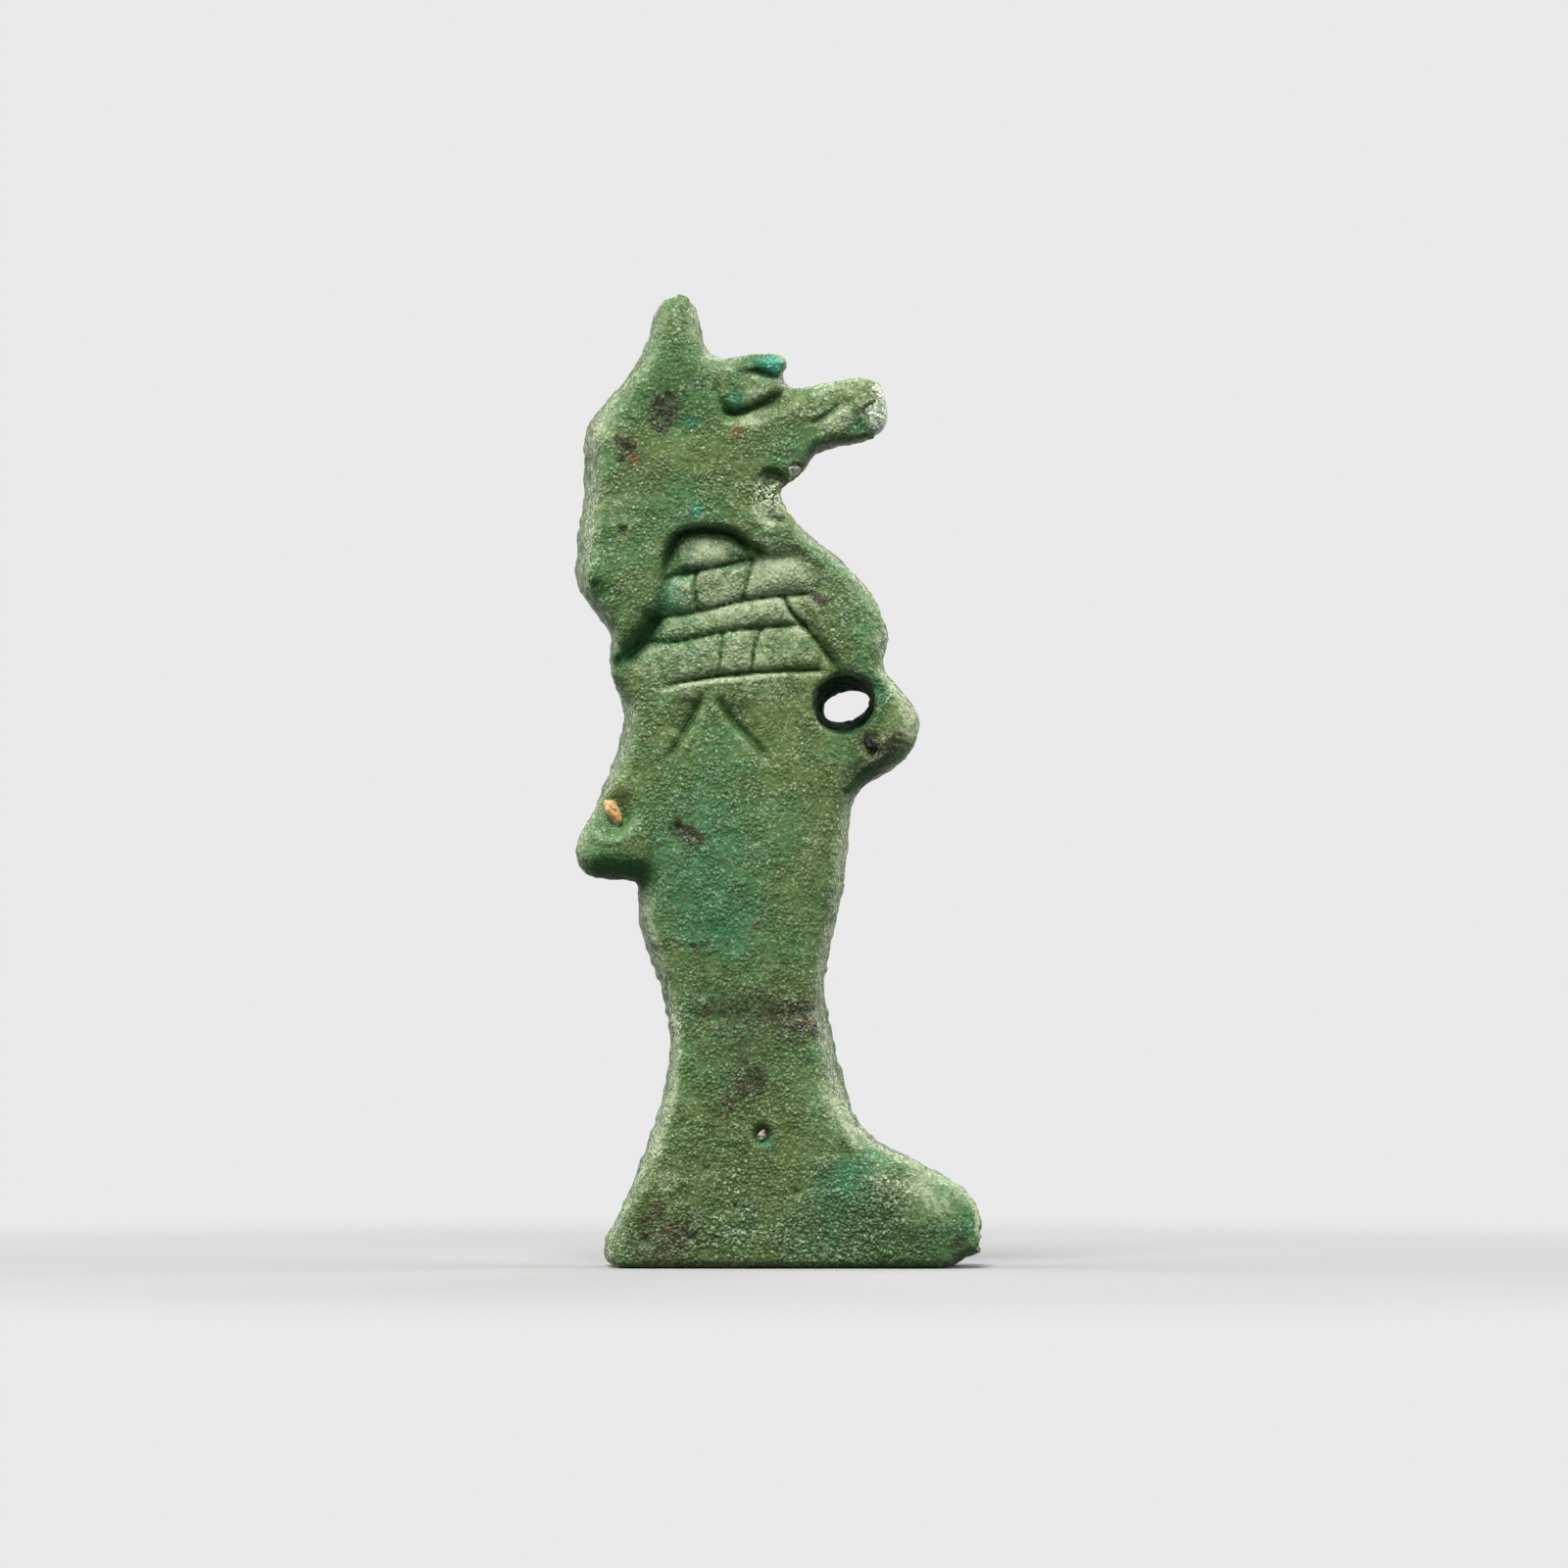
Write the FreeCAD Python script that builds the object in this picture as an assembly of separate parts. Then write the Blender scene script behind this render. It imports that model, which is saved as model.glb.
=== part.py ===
import FreeCAD, Part
import math
import os

# A small faience amulet, pressed in an open mould: a standing mummy-shaped figure with a
# jackal's head in profile. Its back is flat, its front is in low relief, its sides have
# the draft that lets it leave the mould, and one hole is pierced through it at the hand.
#
# Millimetres, +Z up. The figure stands on its foot, its relief faces -Y and its muzzle
# points to +X. The origin is under the middle of the whole figure, at the sole.

# Heights of the figure's bands, from the sole up
foot_h = 4.8
shin_h = 4.2
skirt_h = 4.2
waist_h = 3.3
chest_h = 8.5
head_h = 6.0
ear_h = 2.0

# Widths of the bands across the front
foot_w = 12.9
shin_w = 5.6
skirt_w = 7.1
waist_w = 9.6
chest_w = 11.7
head_w = 10.7
ear_w = 2.4

# How far the middle of each band stands from the upright axis
foot_lean = 0.47
shin_lean = -1.1
skirt_lean = -1.33
waist_lean = -2.2
chest_lean = -1.1
head_lean = -1.63
ear_lean = -3.5

# Thickness of the figure and the rise of its forms above the body's front face
body_t = 4.05
head_rise = 0.45
ear_rise = 0.25
arm_rise = 0.22
hand_rise = 0.28
elbow_rise = 0.18
leg_rise = 0.3
foot_rise = 0.42
brow_rise = 0.3
eye_rise = 0.2

# Edges of the moulding, and how deep a raised form is rooted in what carries it
side_draft = 0.25
edge_round = 0.45
form_slope = 0.5
ridge_slope = 0.2
leg_slope = 0.8
small_slope = 0.14
form_root = 0.2

# Collar panel, sunk into the chest with a sloping floor, and the cells that stand in it
panel_h = 5.2
panel_depth = 0.5
panel_wall = 0.08
cell_rise = 0.22
cell_slope = 0.12
cell_root = 0.1

# Pierced hole
hole_r = 0.6
mouth_r = 1.06
mouth_depth = 1.3

# Glaze skin over the paste, how far above the sole it stops, and the size of the places
# where it is worn through
glaze_t = 0.28
paste_bevel = 0.2
bare_foot_h = 0.2
muzzle_wear_r = 0.75
chin_wear_r = 0.5
toe_wear_r = 0.55

# Lines carved in the glaze
carving_depth = 0.15
carving_w = 0.3

# Grains caught in the surface: half width, half height, half depth, and how far they stand
# proud of it. The pale one lies at the bottom of a small pit.
ochre_half = (0.28, 0.5, 0.3)
ochre_tilt = 25
dark_half = (0.24, 0.24, 0.26)
pale_half = (0.17, 0.2, 0.17)
grain_proud = 0.08
grain_sides = 7
grain_blunt_share = 0.4
pit_r = 0.4
pit_depth = 0.18

# Length by which a cutting tool runs past what it cuts
overrun = 1.0

# Strips that make a rounded edge, the share of each side that a cell's corner cuts off, and
# the power of the distance that spaces a curve's parameters
rim_strips = 2
paste_facets = 3
cell_corner_share = 0.2
spacing_power = 0.5


class Band:
    """A height band of the figure, in whose width and height outline points are read."""

    def __init__(self, bottom, height, lean, width):
        self.bottom = bottom
        self.height = height
        self.lean = lean
        self.width = width
        self.top = bottom + height

    def at(self, across_share, up_share):
        return (self.lean + across_share * self.width, self.bottom + up_share * self.height)


foot = Band(0, foot_h, foot_lean, foot_w)
shin = Band(foot.top, shin_h, shin_lean, shin_w)
skirt = Band(shin.top, skirt_h, skirt_lean, skirt_w)
waist = Band(skirt.top, waist_h, waist_lean, waist_w)
chest = Band(waist.top, chest_h, chest_lean, chest_w)
head = Band(chest.top, head_h, head_lean, head_w)
ear = Band(head.top, ear_h, ear_lean, ear_w)

front_rise = max(head_rise + ear_rise, foot_rise, leg_rise)
back_y = (body_t + front_rise) / 2
front_y = back_y - body_t

# The outline, clockwise from the tip of the ear: band, across, up, and how much of the
# edge's draft and rounding each point takes. Slender ends take less, and the web of paste
# that the mould left between chin and chest takes more, since it is thin.
outline_shares = [
    (ear, -0.01, 1.00, 0.45), (ear, 0.21, 0.90, 0.5), (ear, 0.35, 0.42, 0.6),
    (ear, 0.51, 0.02, 0.9), (ear, 0.96, 0.00, 0.8), (ear, 1.40, 0.02, 0.4),
    (head, 0.171, 0.960, 0.25), (head, 0.162, 0.895, 0.3), (head, 0.184, 0.833, 0.5),
    (head, 0.308, 0.845, 0.6), (head, 0.433, 0.861, 0.5), (head, 0.477, 0.811, 0.35),
    (head, 0.498, 0.628, 0.35), (head, 0.436, 0.533, 0.4), (head, 0.277, 0.456, 0.9),
    (head, 0.212, 0.328, 1.4), (head, 0.162, 0.256, 1.4), (head, 0.162, 0.161, 1.6),
    (head, 0.221, 0.033, 1.2), (chest, 0.271, 0.886), (chest, 0.359, 0.753),
    (chest, 0.407, 0.580), (chest, 0.396, 0.459), (chest, 0.462, 0.349),
    (chest, 0.499, 0.227), (chest, 0.459, 0.094), (chest, 0.370, 0.012, 0.8),
    (waist, 0.497, 0.859), (waist, 0.472, 0.313), (skirt, 0.460, 0.643),
    (skirt, 0.404, 0.119), (shin, 0.524, 0.690), (shin, 0.619, 0.230),
    (foot, 0.209, 0.917), (foot, 0.393, 0.646), (foot, 0.478, 0.458, 0.9),
    (foot, 0.499, 0.188, 0.8), (foot, 0.485, -0.100, 0.8), (foot, 0.400, -0.280, 0.8),
    (foot, -0.400, -0.280, 0.8), (foot, -0.485, -0.100, 0.8), (foot, -0.499, 0.150, 0.8),
    (foot, -0.465, 0.368, 0.9), (shin, -0.512, 0.294), (shin, -0.482, 0.786),
    (skirt, -0.394, 0.119), (skirt, -0.488, 0.619), (skirt, -0.498, 0.929),
    (skirt, -0.531, 0.992, 0.9), (waist, -0.441, 0.030, 0.9), (waist, -0.493, 0.283, 0.9),
    (waist, -0.441, 0.687), (chest, -0.390, 0.102), (chest, -0.368, 0.298),
    (chest, -0.402, 0.463), (chest, -0.410, 0.608), (chest, -0.490, 0.761),
    (head, -0.495, 0.017), (head, -0.476, 0.330), (head, -0.465, 0.590), (head, -0.350, 0.860),
    (ear, -0.500, 0.100, 0.8), (ear, -0.375, 0.550, 0.6), (ear, -0.236, 0.900, 0.5),
]

# Raised forms of the front, in the same way as the outline
head_shares = [
    (head, -0.246, 0.861), (head, -0.171, 0.950), (head, -0.084, 0.911), (head, -0.044, 0.783),
    (head, 0.003, 0.650), (head, 0.097, 0.672), (head, 0.190, 0.733), (head, 0.321, 0.789, 0.6),
    (head, 0.421, 0.783, 0.4), (head, 0.455, 0.694, 0.4), (head, 0.427, 0.606, 0.4),
    (head, 0.290, 0.539, 0.8), (head, 0.190, 0.406), (head, 0.115, 0.283), (head, 0.090, 0.156),
    (chest, 0.083, 0.992), (chest, 0.105, 0.933), (chest, 0.020, 0.776), (chest, -0.208, 0.620),
    (chest, -0.322, 0.561), (chest, -0.373, 0.620, 0.8), (chest, -0.425, 0.745),
    (chest, -0.433, 0.973), (head, -0.405, 0.294), (head, -0.402, 0.489), (head, -0.352, 0.683),
]
ear_shares = [
    (ear, -0.014, 0.750, 0.5), (ear, 0.125, 0.550), (ear, 0.181, 0.183), (head, -0.109, 0.906),
    (head, -0.146, 0.783, 0.7), (head, -0.202, 0.772, 0.7), (head, -0.246, 0.839),
    (head, -0.234, 0.989), (ear, -0.153, 0.417), (ear, -0.111, 0.683, 0.6),
]
arm_shares = [
    (chest, 0.105, 0.933, 0.6), (chest, 0.197, 0.910), (chest, 0.276, 0.824),
    (chest, 0.339, 0.698), (chest, 0.350, 0.561), (chest, 0.322, 0.424, 0.7),
    (chest, 0.265, 0.471, 0.8), (chest, 0.225, 0.561), (chest, 0.179, 0.659),
    (chest, 0.123, 0.776),
]
hand_shares = [
    (chest, 0.395, 0.355, 0.6), (chest, 0.439, 0.290), (chest, 0.456, 0.204),
    (chest, 0.425, 0.118), (chest, 0.356, 0.078), (chest, 0.305, 0.110, 0.6),
    (chest, 0.345, 0.185), (chest, 0.376, 0.260),
]
elbow_shares = [
    (waist, -0.438, 0.293), (waist, -0.403, 0.515), (waist, -0.312, 0.657),
    (waist, -0.229, 0.515), (waist, -0.236, 0.253), (waist, -0.312, 0.131),
    (waist, -0.410, 0.131),
]
leg_shares = [
    (chest, -0.279, 0.247, 0.8), (chest, -0.120, 0.384), (chest, 0.140, 0.322, 0.8),
    (waist, 0.417, 0.919), (skirt, 0.366, 0.738), (skirt, 0.310, 0.183), (shin, 0.470, 0.230),
    (foot, 0.134, 0.868, 0.6), (foot, -0.284, 0.740, 0.6), (shin, -0.435, 0.230),
    (shin, -0.357, 0.786), (skirt, -0.385, 0.619), (skirt, -0.413, 0.976, 0.8),
    (waist, -0.312, 0.475), (chest, -0.322, 0.031),
]
foot_shares = [
    (foot, -0.310, 0.812, 0.6), (foot, -0.129, 0.924), (foot, 0.103, 0.868),
    (foot, 0.245, 0.715), (foot, 0.375, 0.521), (foot, 0.424, 0.368, 0.8),
    (foot, 0.434, 0.125, 0.8), (foot, 0.403, -0.188, 0.6), (foot, -0.026, -0.257),
    (foot, -0.388, -0.188, 0.6), (foot, -0.434, 0.125, 0.8), (foot, -0.408, 0.368),
    (foot, -0.357, 0.611),
]
brow_shares = [
    (head, -0.034, 0.950), (head, 0.053, 0.972), (head, 0.134, 0.961), (head, 0.156, 0.933),
    (head, 0.134, 0.906), (head, 0.053, 0.878), (head, -0.016, 0.861),
]
eye_shares = [
    (head, -0.016, 0.728), (head, 0.016, 0.806), (head, 0.078, 0.861), (head, 0.146, 0.861),
    (head, 0.171, 0.828), (head, 0.121, 0.772), (head, 0.059, 0.722), (head, 0.009, 0.694),
]

# The collar panel: steep under the wig, fading out towards the shoulder and the belly
panel_shares = [
    (chest, -0.225, 0.949), (head, -0.153, 0.000), (head, -0.078, 0.028), (head, -0.003, 0.000),
    (chest, 0.014, 0.941), (chest, 0.105, 0.898), (chest, 0.205, 0.882, 3), (chest, 0.282, 0.808, 8),
    (chest, 0.333, 0.690, 10), (chest, 0.345, 0.561, 8), (chest, 0.305, 0.424, 4),
    (chest, 0.199, 0.396), (chest, -0.009, 0.376), (chest, -0.179, 0.361), (chest, -0.293, 0.337),
    (chest, -0.362, 0.384), (chest, -0.350, 0.510), (chest, -0.302, 0.604),
    (chest, -0.262, 0.710), (chest, -0.248, 0.824),
]

# Corners of the collar's cells, row by row from the wig down: across and up the chest
cell_shares = [
    [(-0.219, 0.839), (-0.208, 0.910), (-0.123, 0.961), (-0.037, 0.945), (0.003, 0.898),
     (-0.100, 0.863)],
    [(-0.242, 0.808), (-0.157, 0.820), (-0.154, 0.686), (-0.254, 0.667)],
    [(-0.145, 0.816), (0.000, 0.871), (-0.023, 0.725), (-0.145, 0.694)],
    [(0.014, 0.890), (0.254, 0.835), (0.236, 0.765), (-0.003, 0.733)],
    [(-0.288, 0.635), (-0.100, 0.694), (0.168, 0.745), (0.157, 0.620), (0.003, 0.616),
     (-0.293, 0.557)],
    [(-0.282, 0.549), (-0.083, 0.573), (-0.094, 0.420), (-0.265, 0.384)],
    [(-0.071, 0.573), (0.037, 0.596), (0.023, 0.447), (-0.080, 0.420)],
    [(0.046, 0.596), (0.162, 0.604), (0.254, 0.447), (0.034, 0.447)],
]

# Carved lines, from end to end, with the form whose face each one is cut in
mouth_shares = [(head, 0.246, 0.606), (head, 0.302, 0.678), (head, 0.364, 0.717)]
left_fold_shares = [(chest, -0.114, 0.353), (chest, -0.179, 0.227), (chest, -0.231, 0.090)]
right_fold_shares = [(chest, -0.088, 0.353), (chest, -0.020, 0.220), (chest, 0.060, 0.075)]

# Places of the hole, the worn spots and the grains: across, up
hole_share = (0.284, 0.308)
muzzle_wear_share = (0.520, 0.640)
chin_wear_share = (0.125, 0.270)
toe_wear_share = (0.505, 0.060)
ochre_share = (-0.361, 0.677)
dark_share = (0.356, 0.149)
pale_share = (-0.085, 0.944)


def placed(shares):
    """Outline points in millimetres, each with the share of an inset that it takes."""
    points = []
    for band, across, up, *ease in shares:
        x, z = band.at(across, up)
        points.append((x, z, ease[0] if ease else 1))
    return points


def cornered(corners):
    """Points of a cell in the chest, two beside each of its corners, which cut them off."""
    shares = []
    for index, (across, up) in enumerate(corners):
        for next_across, next_up in (corners[index - 1], corners[(index + 1) % len(corners)]):
            cut_across = across + (next_across - across) * cell_corner_share
            cut_up = up + (next_up - up) * cell_corner_share
            shares.append((chest, cut_across, cut_up))
    return shares


def knots_of(points):
    """Curve parameters spaced by the root of the distance, which keeps tight corners calm."""
    knots = [0]
    for (x, z, _), (next_x, next_z, _) in zip(points, points[1:] + points[:1]):
        knots.append(knots[-1] + math.hypot(next_x - x, next_z - z) ** spacing_power)
    return knots


def closed_curve(points, y):
    """A smooth closed curve through the points, at one depth, and its knots."""
    knots = knots_of(points)
    curve = Part.BSplineCurve()
    vectors = [FreeCAD.Vector(x, y, z) for x, z, _ in points]
    curve.interpolate(Points=vectors, PeriodicFlag=True, Parameters=knots)
    return curve, knots


def inset_points(points, inset, skin):
    """The points drawn in square to the outline, each by its own share of the inset."""
    curve, knots = closed_curve(points, 0)
    moved = []
    for (x, z, ease), knot in zip(points, knots):
        along = curve.tangent(knot)[0]
        step = inset * ease + skin * min(1, ease)
        moved.append((x + along.z * step, z - along.x * step, ease))
    return moved


def curved_edges(points, y):
    """The closed curve as one edge from each point to the next."""
    curve, knots = closed_curve(points, y)
    edges = []
    for first, last in zip(knots, knots[1:]):
        span = curve.copy()
        span.segment(first, last)
        edges.append(span.toShape())
    return edges


def straight_edges(points, y):
    """The closed polygon through the points, as one edge from each to the next."""
    corners = [FreeCAD.Vector(x, y, z) for x, z, _ in points]
    return [Part.makeLine(here, there) for here, there in zip(corners, corners[1:] + corners[:1])]


def pillow(shares, levels, skin=0, edges_of=curved_edges):
    """A solid through one outline at several depths, each level being a depth and an inset."""
    points = placed(shares)
    return ruled_solid([edges_of(inset_points(points, inset, skin), y) for y, inset in levels])


def faceted_edges(points, y):
    """The closed curve cut into short straight edges, for the paste, which the glaze covers."""
    curve, knots = closed_curve(points, y)
    corners = []
    for first, last in zip(knots, knots[1:]):
        for step in range(paste_facets):
            corners.append(curve.value(first + (last - first) * step / paste_facets))
    corners.append(corners[0])
    return [Part.makeLine(here, there) for here, there in zip(corners, corners[1:])]


def ruled_solid(sections):
    """A solid with straight-ruled strips from each closed section to the next, and flat ends."""
    faces = []
    for near, far in zip(sections, sections[1:]):
        for near_edge, far_edge in zip(near, far):
            faces.append(Part.makeRuledSurface(near_edge, far_edge))
    for end in (sections[0], sections[-1]):
        faces.append(Part.Face(Part.Wire(end)))
    shell = Part.makeShell(faces)
    shell.sewShape()
    solid = Part.makeSolid(shell)
    if solid.Volume < 0:
        solid.reverse()
    return solid


def rounded_rim(y_wall, inset_wall, y_top, inset_top):
    """Levels of a quarter round, from the top of a wall to the flat that it closes."""
    levels = []
    for step in range(rim_strips + 1):
        angle = math.pi / 2 * step / rim_strips
        y = y_wall + (y_top - y_wall) * math.sin(angle)
        inset = inset_wall + (inset_top - inset_wall) * (1 - math.cos(angle))
        levels.append((y, inset))
    return levels


def moulded_body():
    """The whole figure as it leaves the mould: flat back, drafted sides, rounded front edge."""
    flat_inset = side_draft + edge_round
    rim = rounded_rim(front_y + edge_round, side_draft, front_y, flat_inset)
    return pillow(outline_shares, [(back_y, 0)] + rim)


def paste_body():
    """The same figure under the glaze, with plain drafted sides."""
    levels = [(back_y - glaze_t, 0), (front_y + glaze_t, side_draft)]
    return pillow(outline_shares, levels, glaze_t, faceted_edges)


def raised_form(shares, rise, slope, base_rise=0):
    """A form that stands above the front face, or above a form of it, with a root inside."""
    base = front_y - base_rise
    rim = rounded_rim(base, 0, base - rise, slope)
    return pillow(shares, [(base + form_root, 0)] + rim)


def paste_form(shares, rise):
    """The plain bevelled form in the paste, under a raised form of the glaze."""
    base = front_y + glaze_t
    levels = [(base + form_root, 0), (base, 0), (base - rise, paste_bevel)]
    return pillow(shares, levels, glaze_t, faceted_edges)


def tilted(shape):
    """Turns a shape that lies on the front face on to the collar panel's sloping floor."""
    panel_foot = FreeCAD.Vector(0, front_y, chest.top - panel_h)
    angle = math.degrees(math.asin(panel_depth / panel_h))
    shape.rotate(panel_foot, FreeCAD.Vector(1, 0, 0), -angle)
    return shape


def panel_cutter(skin=0):
    """What the collar panel takes out of the chest, grown by the skin for the paste below."""
    floor = front_y + skin
    return tilted(pillow(panel_shares, [(floor - overrun, -skin), (floor, panel_wall - skin)]))


def cell(corners):
    """One bevelled cell that stands on the panel's floor."""
    rim = rounded_rim(front_y, 0, front_y - cell_rise, cell_slope)
    levels = [(front_y + cell_root, 0)] + rim
    return tilted(pillow(cornered(corners), levels, edges_of=straight_edges))


def carved_line(shares, rise):
    """A spindle-shaped cutter for one line, in the face of a form of the given rise."""
    above = front_y - rise - overrun
    start, middle, end = [FreeCAD.Vector(x, above, z) for x, z, _ in placed(shares)]
    along = (end - start).normalize()
    aside = FreeCAD.Vector(along.z, 0, -along.x) * (carving_w / 2)
    edges = [Part.Arc(start, middle + aside, end), Part.Arc(end, middle - aside, start)]
    spindle = Part.Wire([edge.toShape() for edge in edges])
    return Part.Face(spindle).extrude(FreeCAD.Vector(0, overrun + carving_depth, 0))


def on_front(share, band, rise=0):
    """The point at a place of a band, on a face of the given rise."""
    x, z = band.at(share[0], share[1])
    return FreeCAD.Vector(x, front_y - rise, z)


def pierced_hole():
    """The hole from front to back, with the funnel that the piercing tool left."""
    back_way = FreeCAD.Vector(0, 1, 0)
    start = on_front(hole_share, chest) - back_way * overrun
    taper = (mouth_r - hole_r) / mouth_depth
    funnel = Part.makeCone(mouth_r + taper * overrun, hole_r, overrun + mouth_depth, start, back_way)
    bore = Part.makeCylinder(hole_r, body_t + 2 * overrun, start, back_way)
    return funnel.fuse(bore)


def worn_column(share, band, radius):
    """A column through the depth of the figure, inside which the glaze is worn away."""
    start = on_front(share, band, overrun + front_rise)
    depth = body_t + front_rise + 2 * overrun
    return Part.makeCylinder(radius, depth, start, FreeCAD.Vector(0, 1, 0))


def slab(low_z, high_z):
    """All of the figure's space between two heights."""
    width = foot_w + head_w + chest_w
    depth = body_t + front_rise + 2 * overrun
    corner = FreeCAD.Vector(-width / 2, -depth / 2, low_z)
    return Part.makeBox(width, depth, high_z - low_z, corner)


def grain(share, band, half, rise, tilt=0):
    """A blunt many-sided grain, sunk in a face of the given rise but for what stands proud."""
    half_w, half_h, half_d = half
    centre = on_front(share, band, rise - grain_proud) + FreeCAD.Vector(0, half_d, 0)
    ring = []
    for side in range(grain_sides):
        angle = -math.tau * side / grain_sides
        ring.append((centre.x + half_w * math.cos(angle), centre.z + half_h * math.sin(angle), 1))
    blunt = half_w * grain_blunt_share
    levels = [(half_d, blunt), (half_d * (1 - grain_blunt_share), 0)]
    levels += [(-y, inset) for y, inset in reversed(levels)]
    crumb = ruled_solid([straight_edges(inset_points(ring, inset, 0), centre.y + y) for y, inset in levels])
    crumb.rotate(centre, FreeCAD.Vector(0, 1, 0), tilt)
    return crumb


def pit():
    """The small pit on the shin, as the cap of a ball."""
    return Part.makeSphere(pit_r, on_front(pale_share, foot, leg_rise + pit_r - pit_depth))


def figure_surface():
    """The figure as it is seen: what paste and glaze fill together."""
    shape = moulded_body()
    shape = shape.fuse([
        raised_form(head_shares, head_rise, form_slope),
        raised_form(arm_shares, arm_rise, ridge_slope),
        raised_form(hand_shares, hand_rise, ridge_slope),
        raised_form(elbow_shares, elbow_rise, form_slope),
        raised_form(leg_shares, leg_rise, leg_slope),
        raised_form(foot_shares, foot_rise, form_slope),
        raised_form(brow_shares, brow_rise, small_slope),
        raised_form(eye_shares, eye_rise, small_slope),
    ])
    shape = shape.fuse(raised_form(ear_shares, ear_rise, ridge_slope, head_rise))
    shape = shape.cut(panel_cutter())
    shape = shape.fuse([cell(corners) for corners in cell_shares])
    return shape.cut([
        carved_line(mouth_shares, head_rise),
        carved_line(left_fold_shares, leg_rise),
        carved_line(right_fold_shares, leg_rise),
        pit(),
    ])


def paste_surface():
    """The figure under the glaze, with the larger forms only."""
    shape = paste_body()
    shape = shape.fuse([paste_form(head_shares, head_rise), paste_form(leg_shares, leg_rise)])
    return shape.cut(panel_cutter(glaze_t))


def centred(shapes):
    """Moves all pieces together, so that the origin is under the middle of their box."""
    box = Part.makeCompound(shapes).optimalBoundingBox(False)
    shift = FreeCAD.Vector(-box.Center.x, -box.Center.y, -box.ZMin)
    for shape in shapes:
        shape.translate(shift)
    return shift


def build():
    stand = slab(0, ear.top + overrun)
    outside = figure_surface().common(stand)
    inside = paste_surface().common(stand)
    bare = [
        slab(-overrun, bare_foot_h),
        worn_column(muzzle_wear_share, head, muzzle_wear_r),
        worn_column(chin_wear_share, head, chin_wear_r),
        worn_column(toe_wear_share, foot, toe_wear_r),
    ]
    hole = pierced_hole()
    ochre = grain(ochre_share, waist, ochre_half, 0, ochre_tilt)
    dark = grain(dark_share, chest, dark_half, hand_rise)
    pale = grain(pale_share, foot, pale_half, leg_rise - pit_depth)
    grains = [ochre, dark, pale]

    glaze = outside.cut([inside] + bare + [hole] + grains)
    core = inside.fuse([outside.common(zone) for zone in bare]).cut([hole] + grains)
    pieces = {
        "faience_core": core,
        "glaze_coat": glaze,
        "ochre_crumb": ochre,
        "dark_grain": dark,
        "pale_grain": pale,
    }
    shift = centred(list(pieces.values()))
    return pieces, shift


pieces, shift = build()
os.makedirs("parts", exist_ok=True)
for node, shape in pieces.items():
    shape.exportStep(f"parts/{node}.step")
    print(node, shape.isValid(), len(shape.Solids), "solids", round(shape.Volume, 4), "mm3")
hole_at = on_front(hole_share, chest) + shift
print("moved by", [round(value, 4) for value in shift])
print("hole axis at", round(hole_at.x, 4), round(hole_at.z, 4), "back face at", round(back_y + shift.y, 4))
print("bore from", round(front_y + mouth_depth + shift.y, 4), "to", round(back_y + shift.y, 4))
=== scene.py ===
import math

import bmesh
import bpy
import numpy as np
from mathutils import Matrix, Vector

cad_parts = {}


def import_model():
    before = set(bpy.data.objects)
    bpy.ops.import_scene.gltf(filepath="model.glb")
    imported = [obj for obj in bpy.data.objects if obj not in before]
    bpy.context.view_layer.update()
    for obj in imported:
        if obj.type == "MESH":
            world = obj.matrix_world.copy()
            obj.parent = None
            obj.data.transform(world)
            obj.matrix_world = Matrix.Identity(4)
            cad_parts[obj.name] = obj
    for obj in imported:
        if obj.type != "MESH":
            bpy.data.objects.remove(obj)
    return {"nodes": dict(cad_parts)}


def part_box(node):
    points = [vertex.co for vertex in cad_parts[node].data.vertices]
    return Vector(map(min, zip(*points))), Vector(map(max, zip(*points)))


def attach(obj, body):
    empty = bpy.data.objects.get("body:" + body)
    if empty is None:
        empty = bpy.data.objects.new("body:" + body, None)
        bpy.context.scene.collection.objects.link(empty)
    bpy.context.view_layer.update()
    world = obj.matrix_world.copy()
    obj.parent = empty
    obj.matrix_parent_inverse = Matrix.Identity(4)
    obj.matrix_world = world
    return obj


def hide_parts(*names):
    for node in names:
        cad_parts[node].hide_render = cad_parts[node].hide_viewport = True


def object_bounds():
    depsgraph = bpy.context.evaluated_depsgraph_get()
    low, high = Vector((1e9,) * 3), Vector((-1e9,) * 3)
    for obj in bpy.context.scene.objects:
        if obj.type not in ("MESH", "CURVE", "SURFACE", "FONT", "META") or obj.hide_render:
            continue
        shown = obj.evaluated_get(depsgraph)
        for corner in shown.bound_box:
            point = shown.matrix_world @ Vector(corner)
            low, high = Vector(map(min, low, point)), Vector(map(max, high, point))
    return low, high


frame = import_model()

# A small moulded amulet of green faience. The relief is sculpted as a field of thickness
# over the flat back, in millimetres and in the frame's axes, and the outline and every
# overall size come from the frame. Places on the front are given in the pixels of the
# reference picture, which is square and 1600 pixels wide.
cad_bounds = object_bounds()
MM = 0.001
px_per_mm = 30.0
upright_px = 794.3
sole_px = 1293.0
picture_px = 1600.0

low_mm, high_mm = np.array(cad_bounds) / MM
back_y = high_mm[1]

# Fineness of the sculpture across the front, and through the depth
pitch = 0.065
depth_pitch = 0.13

# Thickness of the forms over the flat back
body_level = 3.92
head_level = 4.36
face_level = 4.10
web_level = 4.24
shoulder_level = 4.22
hand_level = 4.18
elbow_level = 4.10
ear_rise = 0.34
brow_rise = 0.28
eye_rise = 0.27
cell_rise = 0.28
cell_round = 0.44
cell_notch = 0.24
cell_notch_round = 0.27
row_tilt = 0.05
panel_top_depth = 0.62
panel_foot_depth = 0.34

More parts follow.
